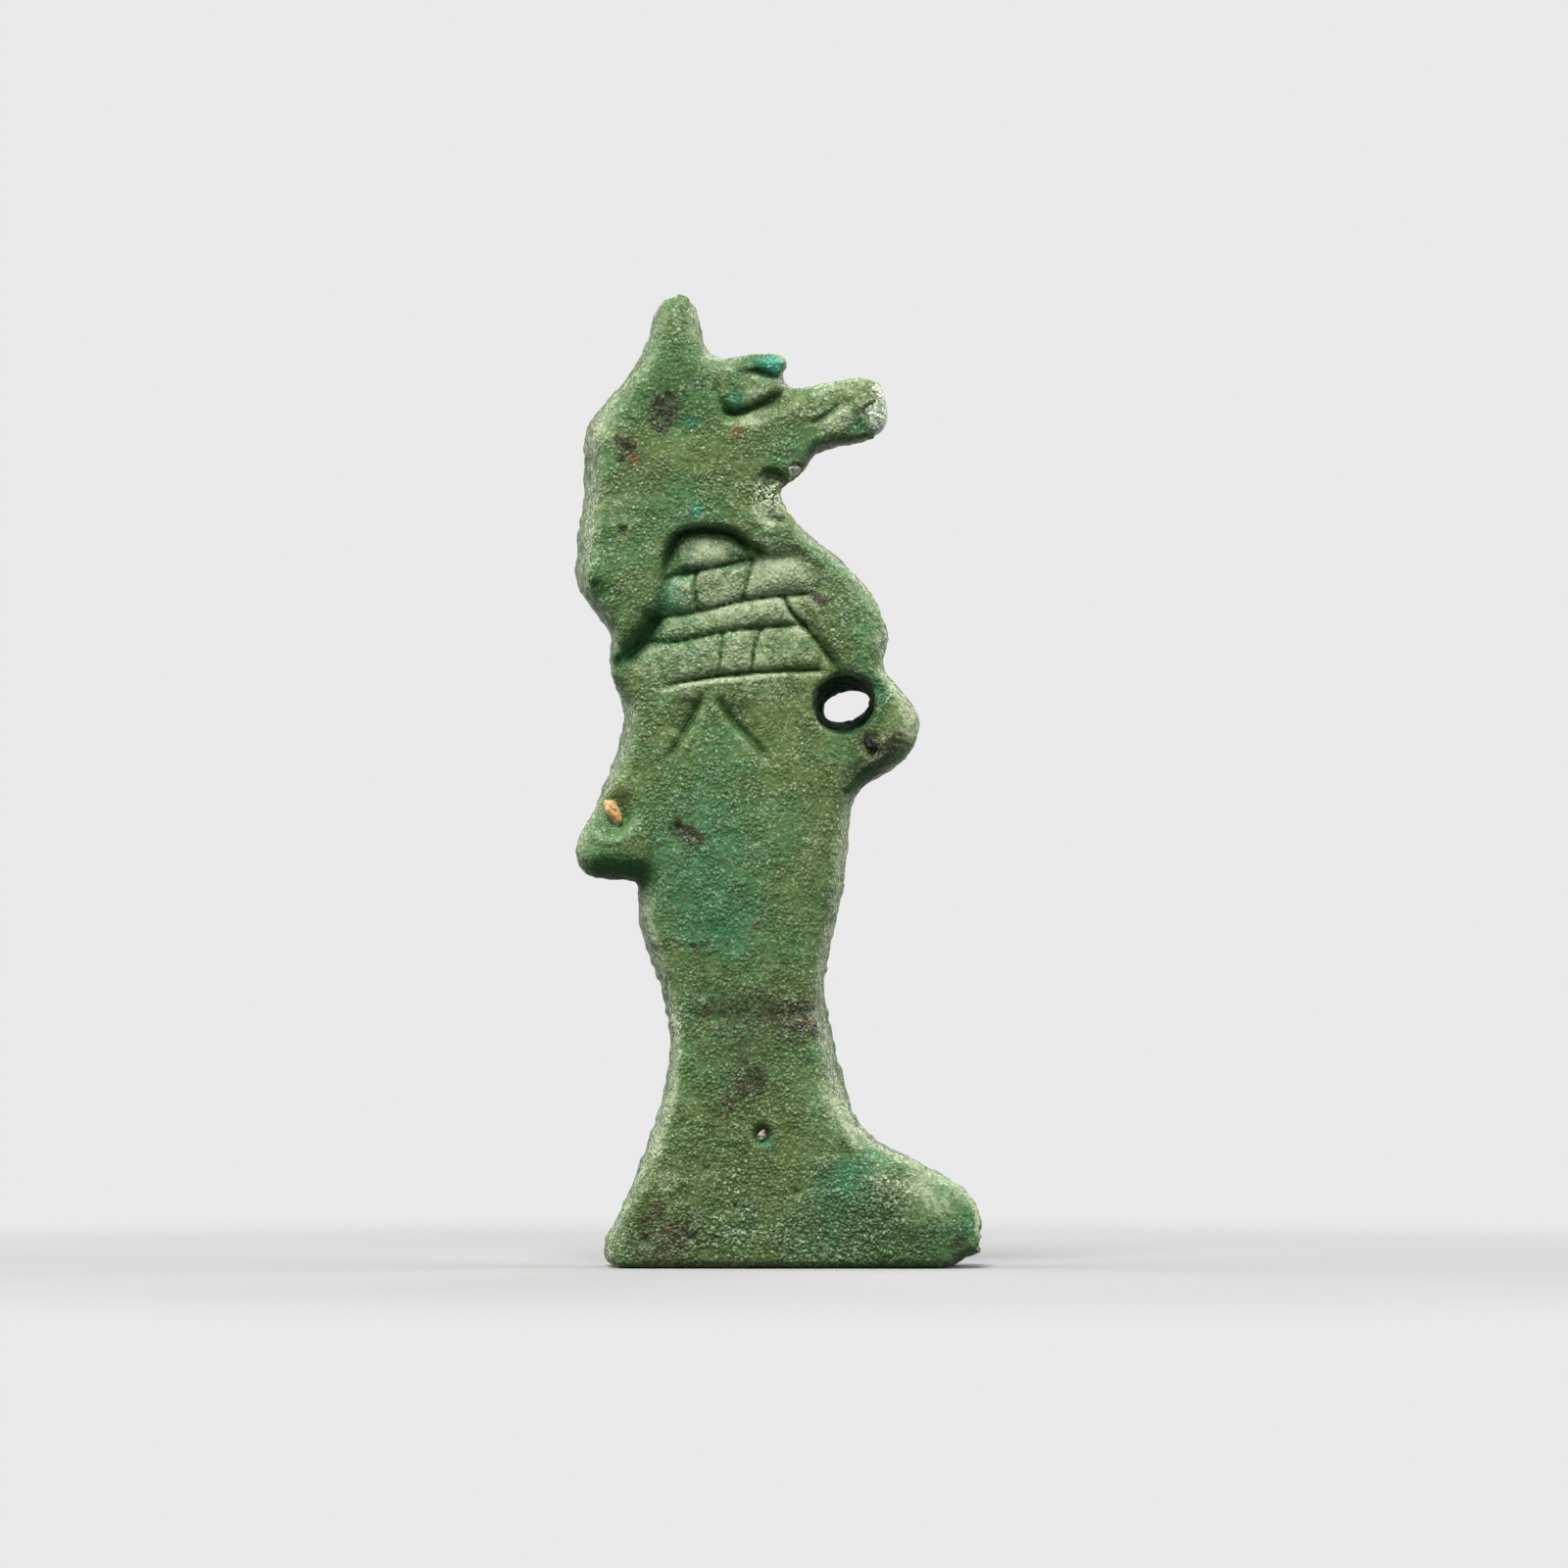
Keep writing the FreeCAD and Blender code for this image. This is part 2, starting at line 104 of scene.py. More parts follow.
# Sides: how far the draft of the mould draws them in, and the rounding of their edges
side_draft = 0.26
rim_round = 0.42
sole_round = 0.36
back_round = 0.22
hole_round = 0.14

# How far the grain of the surface may stand out of the flat back
back_give = 0.02

# Glaze: its thickness over the paste, how far the paste lies back where it is bare, how far
# the worn skin sinks under it, and the strip at the sole that stays bare
glaze_t = 0.28
worn_drop = 0.03
worn_sink = 0.12
sole_gap = 0.03

# Grains: how deep they sit, and how far the hollow around each reaches, as shares of their size
seat_share = 0.55
seat_reach = 0.8

# Outlines of the raised and sunken forms, in pixels of the picture
head_px = [
    (580, 290), (735, 290), (731, 366), (734, 398), (737, 424), (744, 430), (764, 429), (791, 421),
    (805, 413), (825, 404), (850, 396), (880, 388), (940, 376), (940, 460), (880, 474), (846, 474),
    (832, 478), (822, 494), (806, 496), (797, 486), (787, 481), (778, 486), (773, 497), (771, 518),
    (770, 545), (770, 561), (760, 552), (745, 543), (721, 540), (698, 542), (687, 551), (680, 570),
    (677, 592), (671, 616), (660, 638), (645, 657), (628, 672), (590, 660), (550, 600), (550, 400),
]
brow_px = [
    (722, 372), (740, 362), (770, 356), (797, 356), (811, 364), (808, 378), (800, 388), (788, 387),
    (775, 381), (764, 383), (745, 392), (724, 392),
]
eye_px = [
    (736, 412), (727, 402), (725, 384), (750, 377), (764, 379), (777, 381), (789, 385), (806, 391),
    (799, 400), (786, 407), (768, 415), (749, 420),
]
web_px = [
    (774, 494), (785, 488), (800, 490), (830, 492), (830, 530), (812, 540), (795, 536), (782, 532),
    (773, 522),
]
shoulder_px = [
    (740, 500), (800, 500), (850, 528), (900, 550), (930, 600), (940, 690), (905, 700), (868, 694),
    (856, 684), (838, 660), (821, 638), (809, 626), (800, 612), (832, 605), (838, 596), (832, 582),
    (814, 571), (786, 567), (770, 560), (755, 545),
]
panel_px = [
    (679, 570), (687, 551), (698, 543), (721, 541), (745, 544), (762, 554), (786, 568), (814, 572),
    (832, 582), (838, 596), (826, 610), (836, 645), (860, 684), (835, 687), (790, 687), (740, 692),
    (700, 697), (682, 701), (664, 692), (650, 676), (648, 662), (660, 638), (671, 616), (677, 592),
]
hand_px = [
    (893, 692), (906, 676), (950, 690), (970, 745), (940, 815), (880, 826), (860, 806), (868, 790),
    (886, 772), (896, 752), (901, 735), (899, 712),
]
elbow_px = [
    (560, 850), (585, 815), (618, 806), (642, 814), (656, 834), (662, 860), (660, 884), (656, 920),
    (590, 920), (560, 880),
]
face_px = [
    (720, 360), (760, 330), (860, 330), (930, 380), (900, 400), (850, 430), (760, 440), (720, 430),
]
ear_px = [(690, 296), (691, 345), (688, 420)]
lip_px = [(838, 437), (848, 428), (862, 420), (871, 424), (867, 438), (850, 445)]

# Creases of the collar, whose cells swell between them. The rows are listed from the top.
row_lines_px = [
    [(676, 592), (679, 570), (687, 551), (698, 543), (721, 541), (745, 544), (762, 554), (786, 567),
     (800, 569)],
    [(660, 600), (686, 588), (701, 586), (716, 582), (736, 578), (766, 571)],
    [(650, 640), (674, 631), (694, 628), (715, 624), (735, 619), (759, 613), (799, 608), (832, 606)],
    [(640, 668), (660, 656), (684, 656), (715, 650), (744, 644), (785, 640), (822, 638)],
    [(676, 706), (690, 698), (731, 691), (769, 687), (835, 684)],
]
cell_lines_px = [
    [(711, 582), (709, 600), (712, 623)],
    [(768, 571), (763, 592), (758, 613)],
    [(800, 610), (809, 627), (821, 639), (838, 660), (856, 685)],
    [(737, 648), (736, 668), (732, 690)],
    [(776, 643), (770, 662), (767, 687)],
]

# Cut lines: places, depth and half width in millimetres
cut_lines_px = {
    "under_arch": ([(676, 588), (680, 568), (687, 552), (700, 543), (721, 541), (746, 544), (764, 556),
                    (778, 566)], 0.26, 0.13),
    "under_shoulder": ([(755, 549), (770, 560), (788, 567)], 0.08, 0.14),
    "under_brow": ([(766, 379), (776, 381), (788, 386), (802, 391)], 0.10, 0.07),
    "under_eye": ([(734, 414), (740, 422), (752, 424), (766, 418), (788, 408), (801, 398)], 0.18, 0.08),
    "mouth": ([(824, 434), (834, 431), (843, 425), (851, 419), (859, 412)], 0.15, 0.09),
    "upper_lip": ([(824, 424), (842, 414), (862, 405)], 0.07, 0.28),
    "lip_corner": ([(876, 418), (879, 446)], 0.10, 0.22),
    "collar_foot": ([(676, 705), (690, 698), (731, 691), (769, 687), (835, 684)], 0.08, 0.07),
    "collar_rim": ([(668, 711), (697, 702), (722, 699), (749, 696), (818, 689)], -0.025, 0.08),
    "arm_line": ([(799, 611), (809, 627), (821, 639), (838, 660), (856, 685)], 0.12, 0.07),
    "left_fold": ([(720, 704), (713, 720), (701, 744), (692, 760), (680, 777)], 0.22, 0.16),
    "left_fold_bank": ([(708, 712), (699, 734), (688, 752)], 0.16, 0.34),
    "right_fold": ([(731, 708), (744, 732), (762, 751), (786, 777)], 0.22, 0.15),
    "right_fold_bank": ([(742, 718), (758, 736), (774, 752)], 0.12, 0.30),
    "lappet_end": ([(634, 676), (646, 662), (658, 647), (671, 624)], 0.46, 0.38),
    "under_jaw": ([(777, 488), (787, 484), (797, 487), (804, 494)], 0.12, 0.15),
    "ankle": ([(684, 1040), (720, 1037), (780, 1036), (842, 1030)], 0.06, 0.30),
    "heel_crease": ([(686, 1196), (662, 1222), (632, 1256)], 0.03, 0.12),
    "heel_bank": ([(700, 1206), (672, 1236), (650, 1276)], 0.12, 0.45),
    "toe_valley": ([(868, 1150), (864, 1196), (852, 1236), (846, 1300)], 0.12, 0.55),
}

# Lines where the glaze is made pale: rubbed wear at the throat, lip, ear edge and toe end, painted
# highlights along the cheek fold, the collar's foot, the ear's right edge and the muzzle's top, and both
# along the hand, heel and leg edges. Places, half width in millimetres and strength
pale_lines_px = {
    "throat": ([(777, 492), (773, 508), (774, 528), (785, 538)], 0.14, 1.2),
    "hand": ([(903, 688), (915, 705), (928, 722), (934, 742), (934, 762), (925, 776)], 0.24, 1.25),
    "collar_foot": ([(669, 709), (697, 700), (722, 698), (749, 694), (790, 690)], 0.08, 0.6),
    "cheek": ([(744, 427), (768, 426), (790, 420), (806, 412)], 0.11, 0.25),
    "ear_edge": ([(650, 334), (641, 356), (630, 378), (606, 408)], 0.20, 0.5),
    "ear_right": ([(706, 306), (713, 330), (720, 350), (729, 366)], 0.10, 0.6),
    "toe_end": ([(990, 1218), (998, 1238), (1003, 1262)], 0.12, 1.2),
    "muzzle_top": ([(808, 392), (830, 392), (860, 389), (885, 387)], 0.12, 0.6),
    "lip": ([(836, 441), (852, 436), (866, 428)], 0.16, 0.5),
    "right_edge": ([(862, 830), (856, 880), (848, 930), (842, 965), (838, 1005), (842, 1050),
                    (850, 1100), (861, 1140), (874, 1168)], 0.20, 0.75),
    "heel_edge": ([(666, 1160), (655, 1190), (641, 1222), (625, 1252), (622, 1278)], 0.18, 0.5),
    "left_edge": ([(658, 908), (669, 958), (683, 1008), (690, 1042), (690, 1085), (683, 1135),
                   (666, 1186)], 0.20, 0.8),
}

# Soft swellings of the body and of the collar: place, radius and height in millimetres
body_swellings_px = [(940, 1236, 1.5, 0.26), (905, 1206, 0.9, 0.14), (650, 1262, 1.3, -0.16)]
collar_swellings_px = [(722, 568, 0.8, 0.22), (690, 606, 0.5, 0.1), (808, 584, 0.8, 0.24)]

# Where the edges of the forms slope more gently: place, radius and added width in millimetres
shoulder_slopes_px = [(806, 572, 0.9, 0.9)]
panel_slopes_px = [(656, 690, 0.9, 1.2), (830, 580, 1.1, 1.5)]
head_slopes_px = [
    (735, 388, 0.9, 1.5), (650, 640, 0.8, 0.4), (774, 545, 0.5, 0.9), (675, 598, 1, 0.6),
    (775, 505, 0.7, 0.5), (775, 424, 1.2, 0.45),
]

# Small hollows: place, radius and depth in millimetres
pits_px = [
    (777, 1157, 0.28, 0.18), (612, 606, 0.34, 0.22), (608, 598, 0.14, 0.16), (740, 588, 0.06, 0.12),
    (636, 542, 0.14, 0.12), (692, 845, 0.12, 0.14), (706, 853, 0.1, 0.08), (684, 438, 0.1, 0.06),
    (640, 462, 0.14, 0.08), (706, 1262, 0.14, 0.14), (824, 1046, 0.16, 0.08), (832, 612, 0.14, 0.08),
    (750, 1230, 0.1, 0.08), (800, 985, 0.12, 0.06), (718, 965, 0.12, 0.08), (770, 1106, 0.2, 0.06),
    (701, 584, 0.16, 0.14), (676, 1244, 0.16, 0.1), (730, 1262, 0.12, 0.1), (896, 769, 0.16, 0.12),
    (722, 1192, 0.1, 0.08), (812, 1216, 0.12, 0.1), (660, 1264, 0.14, 0.1), (640, 1252, 0.12, 0.08),
]

# Hole: middles and half sizes of its mouth and of the window that shows through, the window's
# tilt, and the depth from which, and over which, the one turns into the other
mouth_px = (861, 717.7)
window_px = (863.2, 720.5)
mouth_half = (1.07, 1.01)
window_half = (0.84, 0.53)
window_tilt = math.radians(19)
mouth_depth = 0.5
funnel_depth = 2.2

# Places where the sides are steeper, or less steep: place, radius in pixels and share of the draft
draft_px = [
    (690, 300, 40, 0.2), (800, 366, 22, 0.1), (760, 358, 26, 0.2), (893, 388, 40, 0.2), (850, 386, 50, 0.3),
    (908, 435, 30, 0.3), (868, 455, 55, 0.2), (806, 485, 30, 0.2), (803, 515, 30, 0.1), (938, 740, 50, 0.3),
    (905, 682, 22, 0.3), (588, 868, 50, 0.3), (640, 900, 40, 0.3), (1000, 1250, 50, 0.2),
    (940, 1190, 60, 0.3), (626, 690, 26, 0.4), (880, 600, 80, 0.5), (596, 470, 60, 2), (592, 560, 50, 2),
    (665, 980, 70, 1.5), (850, 1000, 90, 1.4), (630, 720, 40, 1.6), (625, 780, 40, 1.5),
    (852, 1110, 70, 1.7),
]

# Places where the edges are rounder: place, radius in pixels and rounding in millimetres
round_edges_px = [
    (600, 880, 60, 1.05), (645, 902, 40, 0.95), (930, 760, 60, 0.95), (895, 805, 40, 0.9),
    (1000, 1250, 45, 0.22), (985, 1215, 30, 0.35), (890, 1158, 40, 0.6), (940, 1198, 40, 0.2),
    (860, 390, 60, 0.28), (870, 455, 60, 0.22), (905, 620, 60, 0.65), (850, 540, 50, 0.6),
    (690, 320, 40, 0.55), (846, 1090, 60, 0.6), (840, 980, 60, 0.5), (630, 1270, 30, 0.45),
    (800, 362, 30, 0.3), (803, 512, 34, 0.25),
]

# Chip at the underside of the toe: its middle, its half width and height and its rounding
toe_chip_px = (1007, 1297)
toe_chip_half = (0.88, 0.62)
toe_chip_round = 0.08

# Worn through to the paste: place, radius in pixels, and how far back from the front it reaches
worn_px = [
    (903, 402, 14, 9.0), (903, 417, 18, 9.0), (899, 434, 14, 9.0), (813, 483, 9, 1.6),
    (1007, 1244, 6, 9.0), (1008, 1257, 8, 9.0), (1007, 1270, 9, 9.0),
]


def from_photo(places_px):
    """Places of the picture in millimetres across and up the front."""
    return (np.array(places_px, float) - (upright_px, sole_px)) * (1, -1) / px_per_mm


def curve_through(points, closed=False, steps=5):
    """A smooth line through the points, with steps places from each to the next."""
    if closed:
        before, here, after, beyond = (np.roll(points, shift, 0) for shift in (1, 0, -1, -2))
    else:
        padded = np.vstack([points[:1], points, points[-1:]])
        before, here, after, beyond = padded[:-3], padded[1:-2], padded[2:-1], padded[3:]
    places = []
    for share in np.arange(steps) / steps:
        bend = 2 * before - 5 * here + 4 * after - beyond
        twist = 3 * here - before - 3 * after + beyond
        places.append(here + ((after - before) * share + bend * share ** 2 + twist * share ** 3) / 2)
    line = np.stack(places, 1).reshape(-1, 2)
    return line if closed else np.vstack([line, points[-1:]])


class Plan:
    """The grid across the front, on which the sculpture's fields are drawn."""

    def __init__(self, low, high):
        margin = 4 * pitch
        self.x = np.arange(low[0] - margin, high[0] + margin, pitch)
        self.z = np.arange(-margin, high[2] + margin, pitch)
        self.across, self.up = np.meshgrid(self.x, self.z, indexing="ij")
        self.flat = np.stack([self.across, np.zeros_like(self.across), self.up], -1)

    def from_line(self, line, closed=False):
        """Distance from a line and the share along it; positive inside a closed one."""
        starts, ends = (line, np.roll(line, -1, 0)) if closed else (line[:-1], line[1:])
        lengths = np.hypot(*(ends - starts).T)
        begun = np.concatenate([[0], np.cumsum(lengths)])
        nearest = np.full(self.across.shape, np.inf)
        along = np.zeros_like(nearest)
        inside = np.zeros(nearest.shape, bool)
        for start, end, length, before in zip(starts, ends, lengths, begun):
            if length < 1e-9:
                continue
            run = (end - start) / length
            off_x, off_z = self.across - start[0], self.up - start[1]
            reach = np.clip(off_x * run[0] + off_z * run[1], 0, length)
            gap = (off_x - reach * run[0]) ** 2 + (off_z - reach * run[1]) ** 2
            closer = gap < nearest
            nearest = np.where(closer, gap, nearest)
            along = np.where(closer, before + reach, along)
            if closed and start[1] != end[1]:
                spans = (self.up < start[1]) != (self.up < end[1])
                inside ^= spans & (off_x < off_z * run[0] / run[1])
        distance = np.sqrt(nearest)
        if closed:
            distance = np.where(inside, distance, -distance)
        return distance, along / begun[-1]

    def from_path(self, places_px, closed=False):
        """Distance from a smooth line through places of the picture, and the share along it."""
        return self.from_line(curve_through(from_photo(places_px), closed), closed)

    def inside_of(self, places_px):
        """Distance inside a closed form of the picture."""
        return self.from_path(places_px, closed=True)[0]

    def band(self, places_px, half_width):
        """A soft band along a line, from 1 in its middle down to nothing."""
        return np.exp(-(self.from_path(places_px)[0] / half_width) ** 2)

    def spot(self, x_px, y_px, radius):
        """A soft round spot, from 1 in its middle down to nothing."""
        x, z = from_photo((x_px, y_px))
        return np.exp(-((self.across - x) ** 2 + (self.up - z) ** 2) / radius ** 2)

    def marks(self, spots_px):
        """Soft spots of given strengths, added up."""
        return sum(strength * self.spot(x, y, radius) for x, y, radius, strength in spots_px)

    def blurred(self, field, width):
        """The field, blurred over a width."""
        waves_x = np.fft.fftfreq(field.shape[0], pitch)[:, None]
        waves_z = np.fft.rfftfreq(field.shape[1], pitch)[None, :]
        damping = np.exp(-2 * (math.pi * width) ** 2 * (waves_x ** 2 + waves_z ** 2))
        return np.fft.irfft2(np.fft.rfft2(field) * damping, field.shape)

    def sampled(self, field, places):
        """Values of a field at places of the sculpture, read between its grid's points."""
        across = np.clip((places[:, 0] - self.x[0]) / pitch, 0, len(self.x) - 1.001)
        up = np.clip((places[:, 2] - self.z[0]) / pitch, 0, len(self.z) - 1.001)
        i, j = across.astype(int), up.astype(int)
        s, t = across - i, up - j
        near = field[i, j] * (1 - s) + field[i + 1, j] * s
        far = field[i, j + 1] * (1 - s) + field[i + 1, j + 1] * s
        return near * (1 - t) + far * t


def noise_at(places, size, seed, lattice_count=32):
    """Smooth random values from -1 to 1 at places, with bumps of about the given size."""
    lattice = np.random.default_rng(seed).uniform(-1, 1, (lattice_count,) * 3)
    cells = places / size
    base = np.floor(cells).astype(int)
    part = cells - base
    part = part * part * (3 - 2 * part)
    total = np.zeros(places.shape[:-1])
    for corner in np.ndindex(2, 2, 2):
        weight = np.prod(np.where(corner, part, 1 - part), axis=-1)
        index = np.moveaxis((base + corner) % lattice_count, -1, 0)
        total += weight * lattice[tuple(index)]
    return total


def eased(share):
    share = np.clip(share, 0, 1)
    return share * share * (3 - 2 * share)


def edge(distance, width):
    """From 0 outside a form to 1 inside it, over the width of its edge."""
    return eased(distance / width + 0.5)


def domed(distance, width):
    """A rounded shoulder, from 0 at a form's edge to 1 at the given width inside it."""
    share = np.clip(distance / width, 0, 1)
    return np.sqrt(1 - (1 - share) ** 2)


def blend(first, second, share):
    return first * (1 - share) + second * share


def meet(first, second, radius):
    """The space inside both of two fields, with the edge between them rounded."""
    corner = np.hypot(np.maximum(radius - first, 0), np.maximum(radius - second, 0))
    return np.maximum(radius, np.minimum(first, second)) - corner


def back_outline():
    """The outline of the flat back, in order, as the frame's body and glaze share it."""
    corners, triangles, count = [], [], 0
    for name in ("glaze_coat", "faience_core"):
        mesh = frame["nodes"][name].data
        mesh.calc_loop_triangles()
        places = np.array([vertex.co for vertex in mesh.vertices]) / MM
        faces = np.array([triangle.vertices for triangle in mesh.loop_triangles])
        flat = (places[faces][:, :, 1] > back_y - pitch / 10).all(1)
        corners.append(places)
        triangles.append(faces[flat] + count)
        count += len(places)
    places, number = np.unique(np.round(np.concatenate(corners), 3), axis=0, return_inverse=True)
    border = set()
    for a, b, c in number.reshape(-1)[np.concatenate(triangles)]:
        for here, there in ((a, b), (b, c), (c, a)):
            if (there, here) in border:
                border.remove((there, here))
            else:
                border.add((here, there))
    following = dict(border)
    loops = []
    while following:
        start, here = following.popitem()
        loop = [start]
        while here != start:
            loop.append(here)
            here = following.pop(here)
        loops.append(places[loop][:, [0, 2]])
    return max(loops, key=len)


def outline_field(plan):
    """Distance inside the outline. It runs on below the sole, where nothing draws it in."""
    outline = back_outline()
    on_sole = outline[:, 1] < pitch / 10
    outline[on_sole, 1] = -1
    distance, _ = plan.from_line(outline, closed=True)
    rough = 0.03 * noise_at(plan.flat, 0.9, 11) + 0.016 * noise_at(plan.flat, 0.3, 12)
    chip_x, chip_z = from_photo(toe_chip_px)
    half_x, half_z = toe_chip_half
    clear = np.hypot((plan.across - chip_x) / half_x, (plan.up - chip_z) / half_z) - 1
    return meet(distance + rough, 0.6 * clear, toe_chip_round)


def collar_cells(plan):
    """Height of the collar's cells: they swell between the creases and lean over the row below."""
    between_rows, between_cells = (
        np.min([plan.from_path(line_px)[0] for line_px in lines_px], axis=0)
        for lines_px in (row_lines_px, cell_lines_px))
    heights = []
    for line_px in row_lines_px:
        line = curve_through(from_photo(line_px))
        line = line[np.argsort(line[:, 0])]
        heights.append(np.interp(plan.across, line[:, 0], line[:, 1]))
    swollen = cell_rise * domed(between_rows, cell_round)
    swollen -= cell_notch * (1 - domed(between_cells, cell_notch_round))
    lean = np.zeros_like(swollen)
    for upper, lower in zip(heights, heights[1:]):
        share = (upper - plan.up) / np.maximum(upper - lower, 0.2)
        lean = np.where((share >= 0) & (share < 1), share, lean)
    return swollen + row_tilt * lean


def thickness_field(plan, rim):
    """Thickness of the amulet over its flat back, form by form."""
    level = body_level + 0.26 * domed(rim, 2.2)
    level += plan.marks(body_swellings_px)

    shoulder = plan.inside_of(shoulder_px)
    slope = 0.5 + plan.marks(shoulder_slopes_px)
    level = blend(level, shoulder_level + 0.16 * domed(shoulder, 1.0), edge(shoulder, slope))

    panel = plan.inside_of(panel_px)
    top_z, foot_z = from_photo([(700, 545), (700, 700)])[:, 1]
    down = np.clip((top_z - plan.up) / (top_z - foot_z), 0, 1)
    sunk = blend(panel_top_depth, panel_foot_depth, down ** 0.8)
    cells = collar_cells(plan) + plan.marks(collar_swellings_px)
    slope = 0.2 + plan.marks(panel_slopes_px)
    level = blend(level, body_level + 0.3 - sunk + cells, edge(panel, slope))

    level = blend(level, face_level, edge(plan.inside_of(face_px), 0.3))
    web = plan.inside_of(web_px)
    level = blend(level, web_level + 0.12 * noise_at(plan.flat, 0.4, 21), edge(web, 0.24))
    head = plan.inside_of(head_px)
    cheek_x, jaw_z = from_photo((792, 450))
    on_muzzle = eased((plan.across - cheek_x) / 1.4) * eased((plan.up - jaw_z) / 0.6)
    slope = 0.16 + 0.9 * on_muzzle + plan.marks(head_slopes_px)
    level = blend(level, head_level + 0.12 * domed(rim, 2.6), edge(head, slope))

    distance, _ = plan.from_line(from_photo(ear_px))
    tip_z, root_z, end_z = from_photo([(690, 303), (690, 360), (690, 440)])[:, 1]
    half = 0.55 + 0.28 * np.clip(tip_z - plan.up, 0, 4)
    ear = np.sqrt(np.clip(1 - (distance / half) ** 2, 0, 1))
    level = blend(level, face_level + 0.16, eased((plan.up - root_z) / 1.4))
    level += ear_rise * ear * eased((plan.up - end_z) / 2.4)

    brow = (brow_rise + 0.12 * plan.spot(786, 374, 0.5)) * domed(plan.inside_of(brow_px), 0.24)
    eye = eye_rise * domed(plan.inside_of(eye_px), 0.34)
    raised = np.maximum(brow, eye)
    level = np.where(raised > 0, np.maximum(level, face_level + raised), level)
    level += 0.07 * edge(plan.inside_of(lip_px), 0.3)

    hand = plan.inside_of(hand_px)
    level = blend(level, hand_level + 0.30 * domed(hand, 1.1), edge(hand, 0.8))
    elbow = plan.inside_of(elbow_px)
    level = blend(level, elbow_level + 0.22 * domed(elbow, 1.0), edge(elbow, 0.9))

    for places_px, depth, half_width in cut_lines_px.values():
        distance, along = plan.from_path(places_px)
        taper = np.clip(np.minimum(along, 1 - along) * 6, 0.1, 1)
        level -= depth * taper * np.exp(-(distance / half_width) ** 2)
    level -= plan.marks(pits_px)
    for size, rise, seed in ((3.0, 0.04, 31), (1.1, 0.03, 32), (0.5, 0.018, 33)):
        level += rise * noise_at(plan.flat, size, seed)
    for name in ("ochre_crumb", "dark_grain", "pale_grain"):
        low, high = np.array(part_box(name)) / MM
        middle = (low + high) / 2
        seat = back_y - low[1] - seat_share * (high[1] - low[1])
        away = np.hypot(plan.across - middle[0], plan.up - middle[2])
        reach = seat_reach * max(high[0] - low[0], high[2] - low[2])
        level = blend(level, seat, np.exp(-(away / reach) ** 4))
    return level


def worn_away(places):
    """How much of the glaze is gone at places of the surface, with a ragged border."""
    worn = np.zeros(places.shape[:-1])
    ragged = 0.4 * noise_at(places, 0.5, 41) + 0.25 * noise_at(places, 0.2, 42)
    for x_px, y_px, radius_px, reach in worn_px:
        x, z = from_photo((x_px, y_px))
        distance = np.hypot(places[..., 0] - x, places[..., 2] - z) / (radius_px / px_per_mm)
        behind = places[..., 1] + body_level - back_y - reach
        worn = np.maximum(worn, eased((1.25 - distance - np.maximum(behind, 0) / 0.4 + ragged) / 0.5))
    return worn


def solid_field(plan, rim, thickness, depths):
    """The whole amulet as one field, positive inside, at each depth."""
    draft = np.full_like(rim, side_draft)
    for x_px, y_px, radius_px, share in draft_px:
        draft *= 1 - (1 - share) * plan.spot(x_px, y_px, radius_px / px_per_mm)
    rounding = np.full_like(rim, rim_round)
    for x_px, y_px, radius_px, radius in round_edges_px:
        rounding = blend(rounding, radius, plan.spot(x_px, y_px, radius_px / px_per_mm))
    (mouth_x, mouth_z), (window_x, window_z) = from_photo([mouth_px, window_px])
    layers = []
    for depth in depths:
        over_back = back_y - depth
        side = rim - draft * over_back / body_level
        front = thickness - over_back
        layer = meet(side, front, rounding)
        layer = meet(layer, plan.up, sole_round)
        layer = meet(layer, np.full_like(side, over_back), back_round)
        sunk = eased((body_level - over_back - mouth_depth) / funnel_depth)
        off_x = plan.across - blend(mouth_x, window_x, sunk)
        off_z = plan.up - blend(mouth_z, window_z, sunk)
        turned_x = off_x * math.cos(window_tilt) + off_z * math.sin(window_tilt)
        turned_z = off_z * math.cos(window_tilt) - off_x * math.sin(window_tilt)
        half_x = blend(mouth_half[0], window_half[0], sunk)
        half_z = blend(mouth_half[1], window_half[1], sunk)
        clear = (np.hypot(turned_x / half_x, turned_z / half_z) - 1) * min(half_x, half_z)
        layers.append(meet(layer, clear, hole_round))
    return np.stack(layers, 1)


